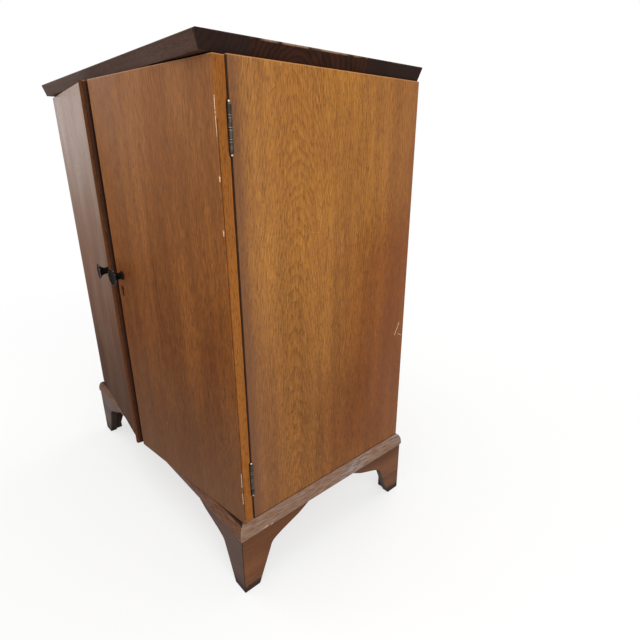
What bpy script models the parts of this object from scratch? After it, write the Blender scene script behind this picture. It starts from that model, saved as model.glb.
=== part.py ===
"""Bar cabinet: a two-door case on a moulded base frame with bracket feet.

It stands on the floor at z = 0, centred on x = 0, with its doors towards -y. Both doors
stand ajar. All sizes are in metres.
"""
import math

import bmesh
import bpy
from mathutils import Matrix, Vector

# Case: two sides, floor, top board, back and one shelf
case_width = 0.769
case_depth = 0.420
case_height = 0.7820
board_thickness = 0.019
dado_depth = 0.006
back_thickness = 0.006
back_set_in = 0.0025
back_rebate_width = 0.010
shelf_height = 0.360
shelf_front_set_back = 0.026
shelf_back_gap = 0.004
shelf_end_gap = 0.001
shelf_pin_radius = 0.0025
shelf_pin_depth = 0.009
shelf_pin_reach = 0.008
shelf_pin_inset = 0.040
shelf_hole_pitch = 0.032
shelf_hole_rows = 3

# Clearances
seat_gap = 0.0003
fit_gap = 0.00025
overrun = 0.002
merge_distance = 0.000001

# Top slab, whose edges lean out from bottom to top
top_thickness = 0.0244
top_side_inset = 0.0057
top_front_overhang = 0.0138
top_back_overhang = 0.001
top_flare = 0.0065
top_arris = 0.0012

# Doors, which cover the front edges of the case
door_thickness = 0.0206
door_case_gap = 0.0027
door_bottom_gap = 0.0024
door_top_gap = 0.0020
door_meeting_gap = 0.0026
meeting_offset = 0.0068
door_arris = 0.0008
right_door_angle = math.radians(6.10)
left_door_angle = math.radians(6.60)
astragal_width = 0.0150
astragal_height = 0.0045
astragal_flat = 0.0012
astragal_steps = 10

# Butt hinges with ball finials
hinge_length = 0.0635
hinge_axis_offset = 0.0020
upper_hinge_inset = 0.093
lower_hinge_inset = 0.0925
barrel_radius = 0.0035
knuckle_count = 4
knuckle_gap = 0.0003
hinge_pin_radius = 0.0023
leaf_thickness = 0.0009
leaf_width = 0.0145
leaf_screw_share = 0.35
leaf_screw_count = 3
collar_radius = 0.0031
collar_height = 0.0008
finial_radius = 0.0020
finial_neck_radius = 0.0012
barrel_notch_gap = 0.0005
barrel_segments = 24
pin_segments = 16
finial_steps = 4

# Countersunk wood screws
screw_head_radius = 0.0028
screw_head_depth = 0.0015
screw_shank_radius = 0.0014
screw_length = 0.013
screw_segments = 10

# Knobs and their screws; the outline runs from the foot to the middle of the dished face
knob_height = 0.4183
right_knob_edge_distance = 0.0225
left_knob_edge_distance = 0.0285
knob_projection = 0.0210
knob_rim_radius = 0.0167
knob_bore_depth = 0.012
knob_segments = 32
knob_screw_radius = 0.0020
knob_screw_head_radius = 0.0042
knob_screw_head_height = 0.0022
knob_screw_crown_share = 0.7
knob_outline_shares = (
    (0.540, 0.000), (0.540, 0.060), (0.450, 0.120), (0.410, 0.260), (0.405, 0.420),
    (0.450, 0.580), (0.560, 0.730), (0.740, 0.850), (0.930, 0.935), (1.000, 0.970),
    (0.985, 1.000), (0.880, 0.985), (0.600, 0.945), (0.300, 0.930), (0.000, 0.925),
)

# Lock in the right door
keyhole_drop = 0.0285
keyhole_edge_distance = 0.0165
keyhole_radius = 0.0023
keyhole_slot_width = 0.0020
keyhole_slot_length = 0.0140
keyhole_segments = 16
lock_width = 0.030
lock_height = 0.044
lock_depth = 0.0115
lock_below_knob = 0.0085
lock_plate_thickness = 0.0015
lock_flange_width = 0.010
lock_wall = 0.0020
lock_bolt_rise = 0.0105
lock_bolt_height = 0.010
lock_bolt_thickness = 0.003
lock_bolt_length = 0.020
lock_bolt_back_wall = 0.0016
lock_bolt_set_in = 0.0005
lock_bolt_throw = 0.007
strike_height = 0.036
strike_width = 0.011
strike_thickness = 0.0012
strike_clearance = 0.0005
strike_set_in = 0.0006

# Bolt inside the left door
door_bolt_edge_distance = 0.026
door_bolt_radius = 0.0025
door_bolt_length = 0.074
door_bolt_standoff = 0.0085
door_bolt_tip_gap = 0.004
door_bolt_throw = 0.014
door_bolt_knob_radius = 0.0030
door_bolt_knob_length = 0.009
door_bolt_segments = 16
bolt_plate_length = 0.064
bolt_plate_width = 0.022
bolt_plate_thickness = 0.0016
bolt_plate_below_tip = 0.006
guide_length = 0.010
guide_wall = 0.0022
keep_length = 0.026
keep_width = 0.013
keep_thickness = 0.0012
keep_set_back = 0.0008

# Base frame: four mitred rails with a thumbnail edge
rail_thickness = 0.0295
rail_width = 0.060
rail_side_projection = 0.0102
rail_front_projection = 0.0150
rail_back_projection = 0.0108
rail_round_width = 0.0100
rail_nose_height = 0.0042
rail_nose_width = 0.0030
rail_upper_steps = 7
rail_lower_steps = 3

# Bracket feet: outline as shares of the bracket's length and height, from the toe up
foot_height = 0.1283
foot_length = 0.1660
foot_board_thickness = 0.0170
foot_inset = 0.0026
foot_outline_shares = (
    (0.2105, 0.000), (0.3905, 0.578), (0.406, 0.633), (0.430, 0.675), (0.470, 0.7075),
    (0.568, 0.765), (0.700, 0.8255), (0.832, 0.8855), (0.937, 0.954), (1.000, 1.000),
)
foot_block_set_back = 0.0010
foot_block_lift = 0.003

# Screws that hold the top slab
top_screw_inset = 0.070
top_screw_length = 0.030

# Heights and planes that follow from the sizes above
rail_bottom = foot_height + seat_gap
rail_top = rail_bottom + rail_thickness
case_bottom = rail_top + seat_gap
case_top = case_bottom + case_height
slab_bottom = case_top + seat_gap
half_width = case_width / 2
inner_half_width = half_width - board_thickness
back_rebate_depth = back_thickness + back_set_in
back_face = case_depth - back_rebate_depth
door_bottom = rail_top + door_bottom_gap
door_top = case_top - door_top_gap
door_front = -(door_case_gap + door_thickness)
pin_y = -door_case_gap / 2
pin_x = half_width + hinge_axis_offset
door_inner_y = -door_case_gap / 2
door_outer_y = door_inner_y - door_thickness
right_door_reach = pin_x - meeting_offset - door_meeting_gap / 2
left_door_reach = pin_x + meeting_offset - door_meeting_gap / 2
knob_z = door_bottom + knob_height
keyhole_z = knob_z - keyhole_drop
barrel_bore_radius = hinge_pin_radius + fit_gap
knuckle_pitch = (hinge_length + knuckle_gap) / knuckle_count
finial_height = collar_height + 2 * finial_radius
upper_hinge_z = case_top - upper_hinge_inset
lower_hinge_z = case_bottom + lower_hinge_inset
floor_top = case_bottom + board_thickness
top_board_bottom = case_top - board_thickness
shelf_bottom = floor_top + shelf_height

# The origin lies on the floor at the middle of everything, from knob rim to base rail
knob_reach = left_door_reach - left_knob_edge_distance + knob_rim_radius
front_reach = (
    pin_y
    - knob_reach * math.sin(left_door_angle)
    + (door_outer_y - knob_projection) * math.cos(left_door_angle)
)
back_reach = case_depth + rail_back_projection
origin_y = -(front_reach + back_reach) / 2

SIDES = (("right", 1), ("left", -1))


def clear_scene():
    """Remove whatever the file holds."""
    for thing in list(bpy.data.objects):
        bpy.data.objects.remove(thing)


def linear(hex_colour):
    """Turn an sRGB hex colour into the linear values that a material takes."""
    channels = [int(hex_colour[i:i + 2], 16) / 255 for i in (1, 3, 5)]
    return [c / 12.92 if c <= 0.04045 else ((c + 0.055) / 1.055) ** 2.4 for c in channels]


def make_material(name, hex_colour, roughness, metallic=0):
    """Make a Principled material of one colour."""
    material = bpy.data.materials.new(name)
    material.use_nodes = True
    shader = material.node_tree.nodes["Principled BSDF"]
    shader.inputs["Base Color"].default_value = (*linear(hex_colour), 1)
    shader.inputs["Roughness"].default_value = roughness
    shader.inputs["Metallic"].default_value = metallic
    return material


def make_empty(name, parent=None, place=None):
    """Make an empty that carries other objects."""
    empty = bpy.data.objects.new(name, None)
    bpy.context.scene.collection.objects.link(empty)
    empty.parent = parent
    empty.matrix_local = place or Matrix.Identity(4)
    return empty


def make_object(name, bm, parent, material=None):
    """Turn a bmesh into a named object, with its faces pointing out."""
    bmesh.ops.recalc_face_normals(bm, faces=bm.faces[:])
    mesh = bpy.data.meshes.new(name)
    bm.to_mesh(mesh)
    bm.free()
    if material:
        mesh.materials.append(material)
    mesh.shade_smooth()
    mesh.set_sharp_from_angle(angle=math.radians(30))
    thing = bpy.data.objects.new(name, mesh)
    bpy.context.scene.collection.objects.link(thing)
    thing.parent = parent
    return thing


def make_helper(name, bm, parent):
    """Make an object that only cuts or joins others, and isn't part of the cabinet."""
    helper = make_object(name, bm, parent)
    helper.hide_render = True
    helper.display_type = "WIRE"
    return helper


def combine(target, helper, operation):
    """Cut a helper out of an object, or join it on."""
    modifier = target.modifiers.new(helper.name, "BOOLEAN")
    modifier.operation = operation
    modifier.solver = "EXACT"
    modifier.object = helper


def box(bm, low, high):
    """Add a box between two corners, given in any order."""
    ends = [sorted(pair) for pair in zip(low, high)]
    low, high = (Vector(corner) for corner in zip(*ends))
    made = bmesh.ops.create_cube(bm, size=1)["verts"]
    bmesh.ops.scale(bm, vec=high - low, verts=made)
    bmesh.ops.translate(bm, vec=(low + high) / 2, verts=made)


def along(axis, a, b, c):
    """Place a point of an outline (a, b) at distance c along an axis."""
    return {"X": (c, a, b), "Y": (a, c, b), "Z": (a, b, c)}[axis]


def prism(bm, outline, axis, start, end):
    """Extrude a closed outline along an axis, and return the corners of each end."""
    first = [bm.verts.new(along(axis, a, b, start)) for a, b in outline]
    face = bm.faces.new(first)
    grown = bmesh.ops.extrude_face_region(bm, geom=[face])["geom"]
    second = [v for v in grown if isinstance(v, bmesh.types.BMVert)]
    bmesh.ops.translate(bm, verts=second, vec=along(axis, 0, 0, end - start))
    return first, second


def turned(bm, profile, steps, place, closed=False):
    """Spin a profile of (radius, height) points once round an axis, at a place."""
    lathe = bmesh.new()
    points = [lathe.verts.new((radius, 0, height)) for radius, height in profile]
    rest = points[1:] + points[:1] if closed else points[1:]
    edges = [lathe.edges.new(pair) for pair in zip(points, rest)]
    bmesh.ops.spin(
        lathe, geom=points + edges, cent=(0, 0, 0), axis=(0, 0, 1),
        angle=math.tau, steps=steps, use_merge=True,
    )
    bmesh.ops.remove_doubles(lathe, verts=lathe.verts[:], dist=merge_distance)
    bmesh.ops.recalc_face_normals(lathe, faces=lathe.faces[:])
    lathe.transform(place)
    mesh = bpy.data.meshes.new("turned")
    lathe.to_mesh(mesh)
    lathe.free()
    bm.from_mesh(mesh)
    bpy.data.meshes.remove(mesh)


def cylinder(bm, radius, start, end, steps, place):
    """Add a plain cylinder along the z axis of a place."""
    turned(bm, [(0, start), (radius, start), (radius, end), (0, end)], steps, place)


def facing(direction, point):
    """Give the place at a point whose z axis looks along a direction."""
    turn = Vector(direction).to_track_quat("Z", "Y").to_matrix().to_4x4()
    return Matrix.Translation(point) @ turn


def screw_shape(length, clearance=0, head_rise=0):
    """Give the profile of a countersunk screw, whose head ends at height zero."""
    head = screw_head_radius + clearance
    shank = screw_shank_radius + clearance
    return [
        (0, -length - clearance),
        (shank, -length - clearance),
        (shank, -screw_head_depth - clearance),
        (head, -clearance),
        (head, head_rise),
        (0, head_rise),
    ]


def screw_drill(name, places, parent, length):
    """Make the helper that drills countersunk holes for a group of screws."""
    drills = bmesh.new()
    for place in places:
        turned(drills, screw_shape(length, fit_gap, overrun), screw_segments, place)
    return make_helper("drill_" + name, drills, parent)


def side_panel(name, side, cabinet, materials):
    """Make one side of the case, with its dadoes, rebate, pin holes and hinge notches."""
    outer, inner = side * half_width, side * inner_half_width
    bm = bmesh.new()
    box(bm, (inner, 0, case_bottom), (outer, case_depth, case_top))
    panel = make_object(name, bm, cabinet, materials["side"])

    dadoes = bmesh.new()
    groove = side * (inner_half_width + dado_depth)
    clear_of_face = side * (inner_half_width - overrun)
    box(
        dadoes, (clear_of_face, -overrun, case_bottom - overrun),
        (groove, case_depth + overrun, floor_top + seat_gap),
    )
    box(
        dadoes, (clear_of_face, -overrun, top_board_bottom - seat_gap),
        (groove, case_depth + overrun, case_top + overrun),
    )
    combine(panel, make_helper("dadoes_" + name, dadoes, cabinet), "DIFFERENCE")

    rebate = bmesh.new()
    box(
        rebate, (clear_of_face, back_face - seat_gap, case_bottom - overrun),
        (side * (inner_half_width + back_rebate_width), case_depth + overrun, case_top + overrun),
    )
    combine(panel, make_helper("rebate_" + name, rebate, cabinet), "DIFFERENCE")

    holes = bmesh.new()
    for y in shelf_pin_places():
        for row in range(shelf_hole_rows):
            lift = (row - shelf_hole_rows // 2) * shelf_hole_pitch
            z = shelf_bottom - seat_gap - shelf_pin_radius + lift
            place = facing((side, 0, 0), (inner, y, z))
            cylinder(
                holes, shelf_pin_radius + fit_gap, -overrun, shelf_pin_depth + fit_gap,
                screw_segments, place,
            )
    for z in (upper_hinge_z, lower_hinge_z):
        barrel_notch(holes, (side * pin_x, pin_y, z))
    combine(panel, make_helper("holes_" + name, holes, cabinet), "DIFFERENCE")


def barrel_notch(bm, centre):
    """Add the round notch that clears a hinge barrel and its finials."""
    half = hinge_length / 2 + finial_height + barrel_notch_gap
    cylinder(
        bm, barrel_radius + barrel_notch_gap, -half, half, barrel_segments,
        Matrix.Translation(centre),
    )


def shelf_pin_places():
    """Give the two depths at which the shelf's pins stand."""
    return shelf_front_set_back + shelf_pin_inset, back_face - shelf_back_gap - shelf_pin_inset


def case_boards(cabinet, materials):
    """Make the floor, the top board, the back panel, the shelf and the shelf's pins."""
    reach = inner_half_width + dado_depth - seat_gap
    boards = {}
    for name, low in (("case_floor", case_bottom), ("case_top_board", top_board_bottom)):
        bm = bmesh.new()
        box(bm, (-reach, 0, low), (reach, back_face - 2 * seat_gap, low + board_thickness))
        boards[name] = make_object(name, bm, cabinet, materials["inside"])

    reach = inner_half_width + back_rebate_width - seat_gap
    bm = bmesh.new()
    box(bm, (-reach, back_face, case_bottom), (reach, back_face + back_thickness, case_top))
    boards["back_panel"] = make_object("back_panel", bm, cabinet, materials["back"])

    reach = inner_half_width - shelf_end_gap
    bm = bmesh.new()
    box(
        bm, (-reach, shelf_front_set_back, shelf_bottom),
        (reach, back_face - shelf_back_gap, shelf_bottom + board_thickness),
    )
    make_object("shelf", bm, cabinet, materials["inside"])

    for side_name, side in SIDES:
        for end, y in zip(("front", "back"), shelf_pin_places()):
            point = (side * inner_half_width, y, shelf_bottom - seat_gap - shelf_pin_radius)
            bm = bmesh.new()
            cylinder(
                bm, shelf_pin_radius, -shelf_pin_depth, shelf_pin_reach, screw_segments,
                facing((-side, 0, 0), point),
            )
            make_object(f"{end}_{side_name}_shelf_pin", bm, cabinet, materials["steel"])
    return boards


def top_slab(cabinet, materials):
    """Make the top, whose four edges lean outwards from bottom to top."""
    low_x = half_width - top_side_inset
    low_front = door_front - top_front_overhang
    low_back = case_depth + top_back_overhang
    top = slab_bottom + top_thickness
    levels = (
        (slab_bottom, 0),
        (top - top_arris, top_flare * (1 - top_arris / top_thickness)),
        (top, top_flare - top_arris),
    )
    bm = bmesh.new()
    loops = []
    for z, out in levels:
        x, front, back = low_x + out, low_front - out, low_back + out
        corners = ((-x, front), (x, front), (x, back), (-x, back))
        loops.append([bm.verts.new((*corner, z)) for corner in corners])
    bm.faces.new(loops[0])
    bm.faces.new(loops[-1])
    for lower, upper in zip(loops, loops[1:]):
        for i in range(len(lower)):
            j = (i + 1) % len(lower)
            bm.faces.new((lower[i], lower[j], upper[j], upper[i]))
    return make_object("top_slab", bm, cabinet, materials["top"])


def rail_profile():
    """Give the base rail's section: distance in from its nose, and height."""
    nose = rail_bottom + rail_nose_height
    upper_height = rail_thickness - rail_nose_height
    points = [(rail_width, rail_top)]
    for i in range(rail_upper_steps + 1):
        angle = math.pi / 2 * (1 - i / rail_upper_steps)
        points.append((
            rail_round_width * (1 - math.cos(angle)), nose + upper_height * math.sin(angle),
        ))
    for i in range(1, rail_lower_steps + 1):
        angle = math.pi / 2 * i / rail_lower_steps
        points.append((
            rail_nose_width * (1 - math.cos(angle)), nose - rail_nose_height * math.sin(angle),
        ))
    points.append((rail_width, rail_bottom))
    return points


def base_rails(cabinet, materials):
    """Make the four mitred rails that the case stands on."""
    half_x = half_width + rail_side_projection
    front = door_front - rail_front_projection
    back = back_reach
    middle, half_y = (front + back) / 2, (back - front) / 2
    mitre = seat_gap / math.sqrt(2)
    walls = (
        ("base_rail_front", half_x, lambda run, deep: (run, front + deep)),
        ("base_rail_back", half_x, lambda run, deep: (run, back - deep)),
        ("base_rail_right", half_y, lambda run, deep: (half_x - deep, middle + run)),
        ("base_rail_left", half_y, lambda run, deep: (-half_x + deep, middle + run)),
    )
    for name, half, place in walls:
        bm = bmesh.new()
        ends = []
        for sign in (-1, 1):
            loop = []
            for deep, z in rail_profile():
                run = sign * (half - deep - mitre)
                loop.append(bm.verts.new((*place(run, deep), z)))
            ends.append(loop)
            bm.faces.new(loop)
        for i in range(len(ends[0])):
            j = (i + 1) % len(ends[0])
            bm.faces.new((ends[0][i], ends[0][j], ends[1][j], ends[1][i]))
        make_object(name, bm, cabinet, materials["rail"])


def foot_outline():
    """Give a bracket's outline as distance from its mitre and height."""
    mitre = seat_gap / math.sqrt(2)
    curve = [(foot_length * run, foot_height * rise) for run, rise in foot_outline_shares]
    return [(mitre, 0)] + curve + [(mitre, foot_height)]


def bracket(name, axis, face, inward, corner, run, cabinet, material):
    """Make one foot board, mitred at its corner.

    Its outer face is square to the axis at face, and run points away from the corner.
    """
    placed = [(corner + run * distance, z) for distance, z in foot_outline()]
    bm = bmesh.new()
    _, second = prism(bm, placed, axis, face, face + inward * foot_board_thickness)
    across = "XY".index("Y" if axis == "X" else "X")
    for vert in second:
        if abs(vert.co[across] - placed[0][0]) < merge_distance:
            vert.co[across] += run * foot_board_thickness
    make_object(name, bm, cabinet, material)


def feet(cabinet, materials):
    """Make the four bracket feet, each of two boards with a block in their corner."""
    wood = materials["foot"]
    x = half_width + rail_side_projection - foot_inset
    ends = (
        ("front", door_front - rail_front_projection + foot_inset, 1),
        ("back", back_reach - foot_inset, -1),
    )
    depth = foot_board_thickness + seat_gap
    toe = foot_length * foot_outline_shares[0][0] - foot_block_set_back
    for side_name, side in SIDES:
        for end, y, way in ends:
            stem = f"{end}_{side_name}_foot"
            bracket(f"{stem}_{end}", "Y", y, way, side * x, -side, cabinet, wood)
            bracket(f"{stem}_side", "X", side * x, -side, y, way, cabinet, wood)
            bm = bmesh.new()
            box(
                bm, (side * (x - depth), y + way * depth, foot_block_lift),
                (side * (x - toe), y + way * toe, foot_height),
            )
            make_object(f"{stem}_block", bm, cabinet, materials["inside"])


def knuckles(first):
    """Give the heights of a leaf's knuckles above the hinge's middle."""
    bottom = -hinge_length / 2
    spans = []
    for i in range(first, knuckle_count, 2):
        low = bottom + i * knuckle_pitch
        spans.append((low, low + knuckle_pitch - knuckle_gap))
    return spans


def hinge_leaf(name, side, first, way, centre, parent, material):
    """Make one leaf with its knuckles; way is 1 against the case and -1 against the door."""
    x0, y0, z0 = centre
    root = barrel_radius + seat_gap
    tip = (barrel_bore_radius + barrel_radius) / 2
    far = leaf_width + hinge_axis_offset
    half = hinge_length / 2
    outline = [(far, half), (far, -half), (root, -half)]
    for low, high in knuckles(first):
        low, high = low + knuckle_gap, high - knuckle_gap
        outline += [(root, low), (tip, low), (tip, high), (root, high)]
    outline.append((root, half))
    back = y0 + way * (door_case_gap / 2 - seat_gap)
    bm = bmesh.new()
    prism(
        bm, [(x0 - side * run, z0 + z) for run, z in outline], "Y",
        back, back - way * leaf_thickness,
    )
    leaf = make_object(name, bm, parent, material)
    rings = bmesh.new()
    for low, high in knuckles(first):
        ring = (
            (barrel_bore_radius, low), (barrel_radius, low),
            (barrel_radius, high), (barrel_bore_radius, high),
        )
        turned(rings, ring, barrel_segments, Matrix.Translation(centre), closed=True)
    combine(leaf, make_helper("knuckles_" + name, rings, parent), "UNION")
    return leaf


def hinge_pin(name, centre, cabinet, material):
    """Make a hinge's pin with a collar and a ball at each end."""
    half = hinge_length / 2 + seat_gap
    ball = half + collar_height + finial_radius
    upper = [
        (hinge_pin_radius, half), (collar_radius, half),
        (collar_radius, half + collar_height), (finial_neck_radius, half + collar_height),
    ]
    start = math.asin(finial_neck_radius / finial_radius)
    for i in range(finial_steps + 1):
        angle = start + (math.pi - start) * i / finial_steps
        radius = finial_radius * math.sin(angle) if i < finial_steps else 0
        upper.append((radius, ball - finial_radius * math.cos(angle)))
    lower = [(radius, -height) for radius, height in reversed(upper)]
    bm = bmesh.new()
    turned(bm, lower + upper, pin_segments, Matrix.Translation(centre))
    make_object(name, bm, cabinet, material)


def leaf_screw_places(side, way, x0, y0):
    """Give the places of one side's leaf screws; their heads look out of the leaf."""
    run = (leaf_width + hinge_axis_offset + barrel_radius) / 2
    face = y0 + way * (door_case_gap / 2 - seat_gap - leaf_thickness)
    places = []
    for z in (upper_hinge_z, lower_hinge_z):
        for i in range(leaf_screw_count):
            rise = (i - (leaf_screw_count - 1) / 2) * leaf_screw_share * hinge_length
            places.append(facing((0, -way, 0), (x0 - side * run, face, z + rise)))
    return places


def hinges(side_name, side, cabinet, door, materials):
    """Make one side's two hinges, each with two leaves drilled for screws and a pin."""
    bronze = materials["bronze"]
    case_places = leaf_screw_places(side, 1, side * pin_x, pin_y)
    case_drills = screw_drill(f"{side_name}_case_leaves", case_places, cabinet, screw_length)
    door_places = leaf_screw_places(side, -1, 0, 0)
    door_drills = screw_drill(f"{side_name}_door_leaves", door_places, door, screw_length)
    for level, z in (("upper", upper_hinge_z), ("lower", lower_hinge_z)):
        centre = (side * pin_x, pin_y, z)
        stem = f"{side_name}_{level}"
        case_leaf = hinge_leaf(stem + "_case_leaf", side, 0, 1, centre, cabinet, bronze)
        door_leaf = hinge_leaf(stem + "_door_leaf", side, 1, -1, (0, 0, z), door, bronze)
        combine(case_leaf, case_drills, "DIFFERENCE")
        combine(door_leaf, door_drills, "DIFFERENCE")
        hinge_pin(stem + "_hinge_pin", centre, cabinet, bronze)


def knob_profile():
    """Give a trumpet knob's outline from its foot to the middle of its dished face."""
    bore = knob_screw_radius + fit_gap
    profile = [(0, knob_bore_depth), (bore, knob_bore_depth), (bore, 0)]
    length = knob_projection - seat_gap
    return profile + [(knob_rim_radius * r, length * h) for r, h in knob_outline_shares]


def knob(side_name, x, door, door_board, materials):
    """Make a door's knob and the screw that holds it from inside."""
    bm = bmesh.new()
    place = facing((0, -1, 0), (x, door_outer_y - seat_gap, knob_z))
    turned(bm, knob_profile(), knob_segments, place)
    make_object(side_name + "_knob", bm, door, materials["knob"])

    through = door_thickness + 2 * seat_gap
    tip = through + knob_bore_depth - seat_gap - fit_gap
    shape = [
        (0, -knob_screw_head_height),
        (knob_screw_head_radius * knob_screw_crown_share, -knob_screw_head_height),
        (knob_screw_head_radius, -knob_screw_head_height / 2), (knob_screw_head_radius, 0),
        (knob_screw_radius, 0), (knob_screw_radius, tip), (0, tip),
    ]
    place = facing((0, -1, 0), (x, door_inner_y + seat_gap, knob_z))
    bm = bmesh.new()
    turned(bm, shape, keyhole_segments, place)
    make_object(side_name + "_knob_screw", bm, door, materials["steel"])
    drill = bmesh.new()
    cylinder(
        drill, knob_screw_radius + fit_gap, -overrun, through + overrun, keyhole_segments, place,
    )
    combine(door_board, make_helper("drill_" + side_name + "_knob", drill, door), "DIFFERENCE")


def door_panel(side_name, side, reach, door, material):
    """Make a flat door with slightly eased edges, notched for its hinge barrels."""
    bm = bmesh.new()
    box(
        bm, (-side * hinge_axis_offset, door_outer_y, door_bottom),
        (-side * reach, door_inner_y, door_top),
    )
    front = [e for e in bm.edges if all(v.co.y < (door_outer_y + door_inner_y) / 2 for v in e.verts)]
    bmesh.ops.bevel(bm, geom=front, offset=door_arris, segments=1, affect="EDGES", profile=0.5)
    panel = make_object(side_name + "_door_panel", bm, door, material)
    notches = bmesh.new()
    for z in (upper_hinge_z, lower_hinge_z):
        barrel_notch(notches, (0, 0, z))
    combine(panel, make_helper("notches_" + side_name, notches, door), "DIFFERENCE")
    return panel


def astragal(reach, door, materials):
    """Make the rounded bead along the left door's meeting edge."""
    half = astragal_width / 2
    dome = astragal_height - astragal_flat
    base = door_outer_y - seat_gap
    outline = [(reach, base)]
    for i in range(astragal_steps + 1):
        angle = math.pi * i / astragal_steps
        outline.append((
            reach - half + half * math.cos(angle), base - astragal_flat - dome * math.sin(angle),
        ))
    outline.append((reach - astragal_width, base))
    bm = bmesh.new()
    prism(bm, outline, "Z", door_bottom, door_top)
    make_object("astragal", bm, door, materials["astragal"])


def keyhole(bm, x, start, end):
    """Add a keyhole's shape: a round hole with a slot below it."""
    slot = math.asin(keyhole_slot_width / 2 / keyhole_radius)
    outline = []
    for i in range(keyhole_segments):
        angle = -math.pi / 2 + slot + (math.tau - 2 * slot) * i / (keyhole_segments - 1)
        outline.append((
            x + keyhole_radius * math.cos(angle), keyhole_z + keyhole_radius * math.sin(angle),
        ))
    bottom = keyhole_z - keyhole_slot_length
    outline.append((x - keyhole_slot_width / 2, bottom))
    outline.append((x + keyhole_slot_width / 2, bottom))
    prism(bm, outline, "Y", start, end)


def lock(reach, door, door_board, materials):
    """Make the lock let into the right door's back, its bolt and its screws."""
    edge = -reach
    inner = edge + lock_width
    top = knob_z - lock_below_knob
    bottom = top - lock_height
    back = door_inner_y
    front = back - lock_depth
    flange = inner + lock_flange_width
    brass = materials["brass"]

    bm = bmesh.new()
    box(bm, (edge, front, bottom), (inner, back, top))
    case = make_object("lock_case", bm, door, brass)
    bm = bmesh.new()
    box(bm, (inner - lock_wall, back - lock_plate_thickness, bottom), (flange, back, top))
    combine(case, make_helper("lock_flange", bm, door), "UNION")

    pocket = bmesh.new()
    box(
        pocket, (edge - overrun, front - seat_gap, bottom - seat_gap),
        (inner + seat_gap, back + overrun, top + seat_gap),
    )
    combine(door_board, make_helper("lock_pocket", pocket, door), "DIFFERENCE")
    pocket = bmesh.new()
    box(
        pocket, (inner, back - lock_plate_thickness - seat_gap, bottom - seat_gap),
        (flange + seat_gap, back + overrun, top + seat_gap),
    )
    combine(door_board, make_helper("lock_flange_pocket", pocket, door), "DIFFERENCE")

    key_x = edge + keyhole_edge_distance
    hole = bmesh.new()
    keyhole(hole, key_x, door_outer_y - overrun, back - lock_plate_thickness)
    helper = make_helper("keyhole", hole, door)
    combine(door_board, helper, "DIFFERENCE")
    combine(case, helper, "DIFFERENCE")

    bolt_z = keyhole_z + lock_bolt_rise
    bolt_back = back - lock_bolt_back_wall
    bolt_front = bolt_back - lock_bolt_thickness
    half = lock_bolt_height / 2
    start = edge + lock_bolt_set_in
    bm = bmesh.new()
    box(
        bm, (start, bolt_front, bolt_z - half),
        (start + lock_bolt_length, bolt_back, bolt_z + half),
    )
    make_object("lock_bolt", bm, door, brass)
    bm = bmesh.new()
    box(
        bm, (edge - overrun, bolt_front - fit_gap, bolt_z - half - fit_gap),
        (start + lock_bolt_length + fit_gap, bolt_back + fit_gap, bolt_z + half + fit_gap),
    )
    combine(case, make_helper("lock_bolt_channel", bm, door), "DIFFERENCE")

    middle = (inner + flange) / 2
    quarter = lock_height / 4
    places = [facing((0, 1, 0), (middle, back, z)) for z in (bottom + quarter, top - quarter)]
    combine(case, screw_drill("lock_flange", places, door, screw_length), "DIFFERENCE")


def strike(reach, door, door_board, materials):
    """Make the strike plate in the left door's edge, and the mortise behind it."""
    bolt_z = keyhole_z + lock_bolt_rise
    bolt_y = door_inner_y - lock_bolt_back_wall - lock_bolt_thickness / 2
    face = reach - strike_set_in
    low = bolt_z - strike_height / 2
    high = bolt_z + strike_height / 2
    front = door_inner_y - strike_width
    bm = bmesh.new()
    box(bm, (face - strike_thickness, front, low), (face, door_inner_y, high))
    plate = make_object("strike_plate", bm, door, materials["brass"])
    bm = bmesh.new()
    box(
        bm, (face - strike_thickness - seat_gap, front - seat_gap, low - seat_gap),
        (reach + overrun, door_inner_y + overrun, high + seat_gap),
    )
    combine(door_board, make_helper("strike_recess", bm, door), "DIFFERENCE")
    half_y = lock_bolt_thickness / 2 + strike_clearance
    half_z = lock_bolt_height / 2 + strike_clearance
    entry = lock_bolt_throw - lock_bolt_set_in - door_meeting_gap
    bm = bmesh.new()
    box(
        bm, (reach - entry - overrun, bolt_y - half_y, bolt_z - half_z),
        (reach + overrun, bolt_y + half_y, bolt_z + half_z),
    )
    mortise = make_helper("strike_mortise", bm, door)
    combine(plate, mortise, "DIFFERENCE")
    combine(door_board, mortise, "DIFFERENCE")


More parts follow.
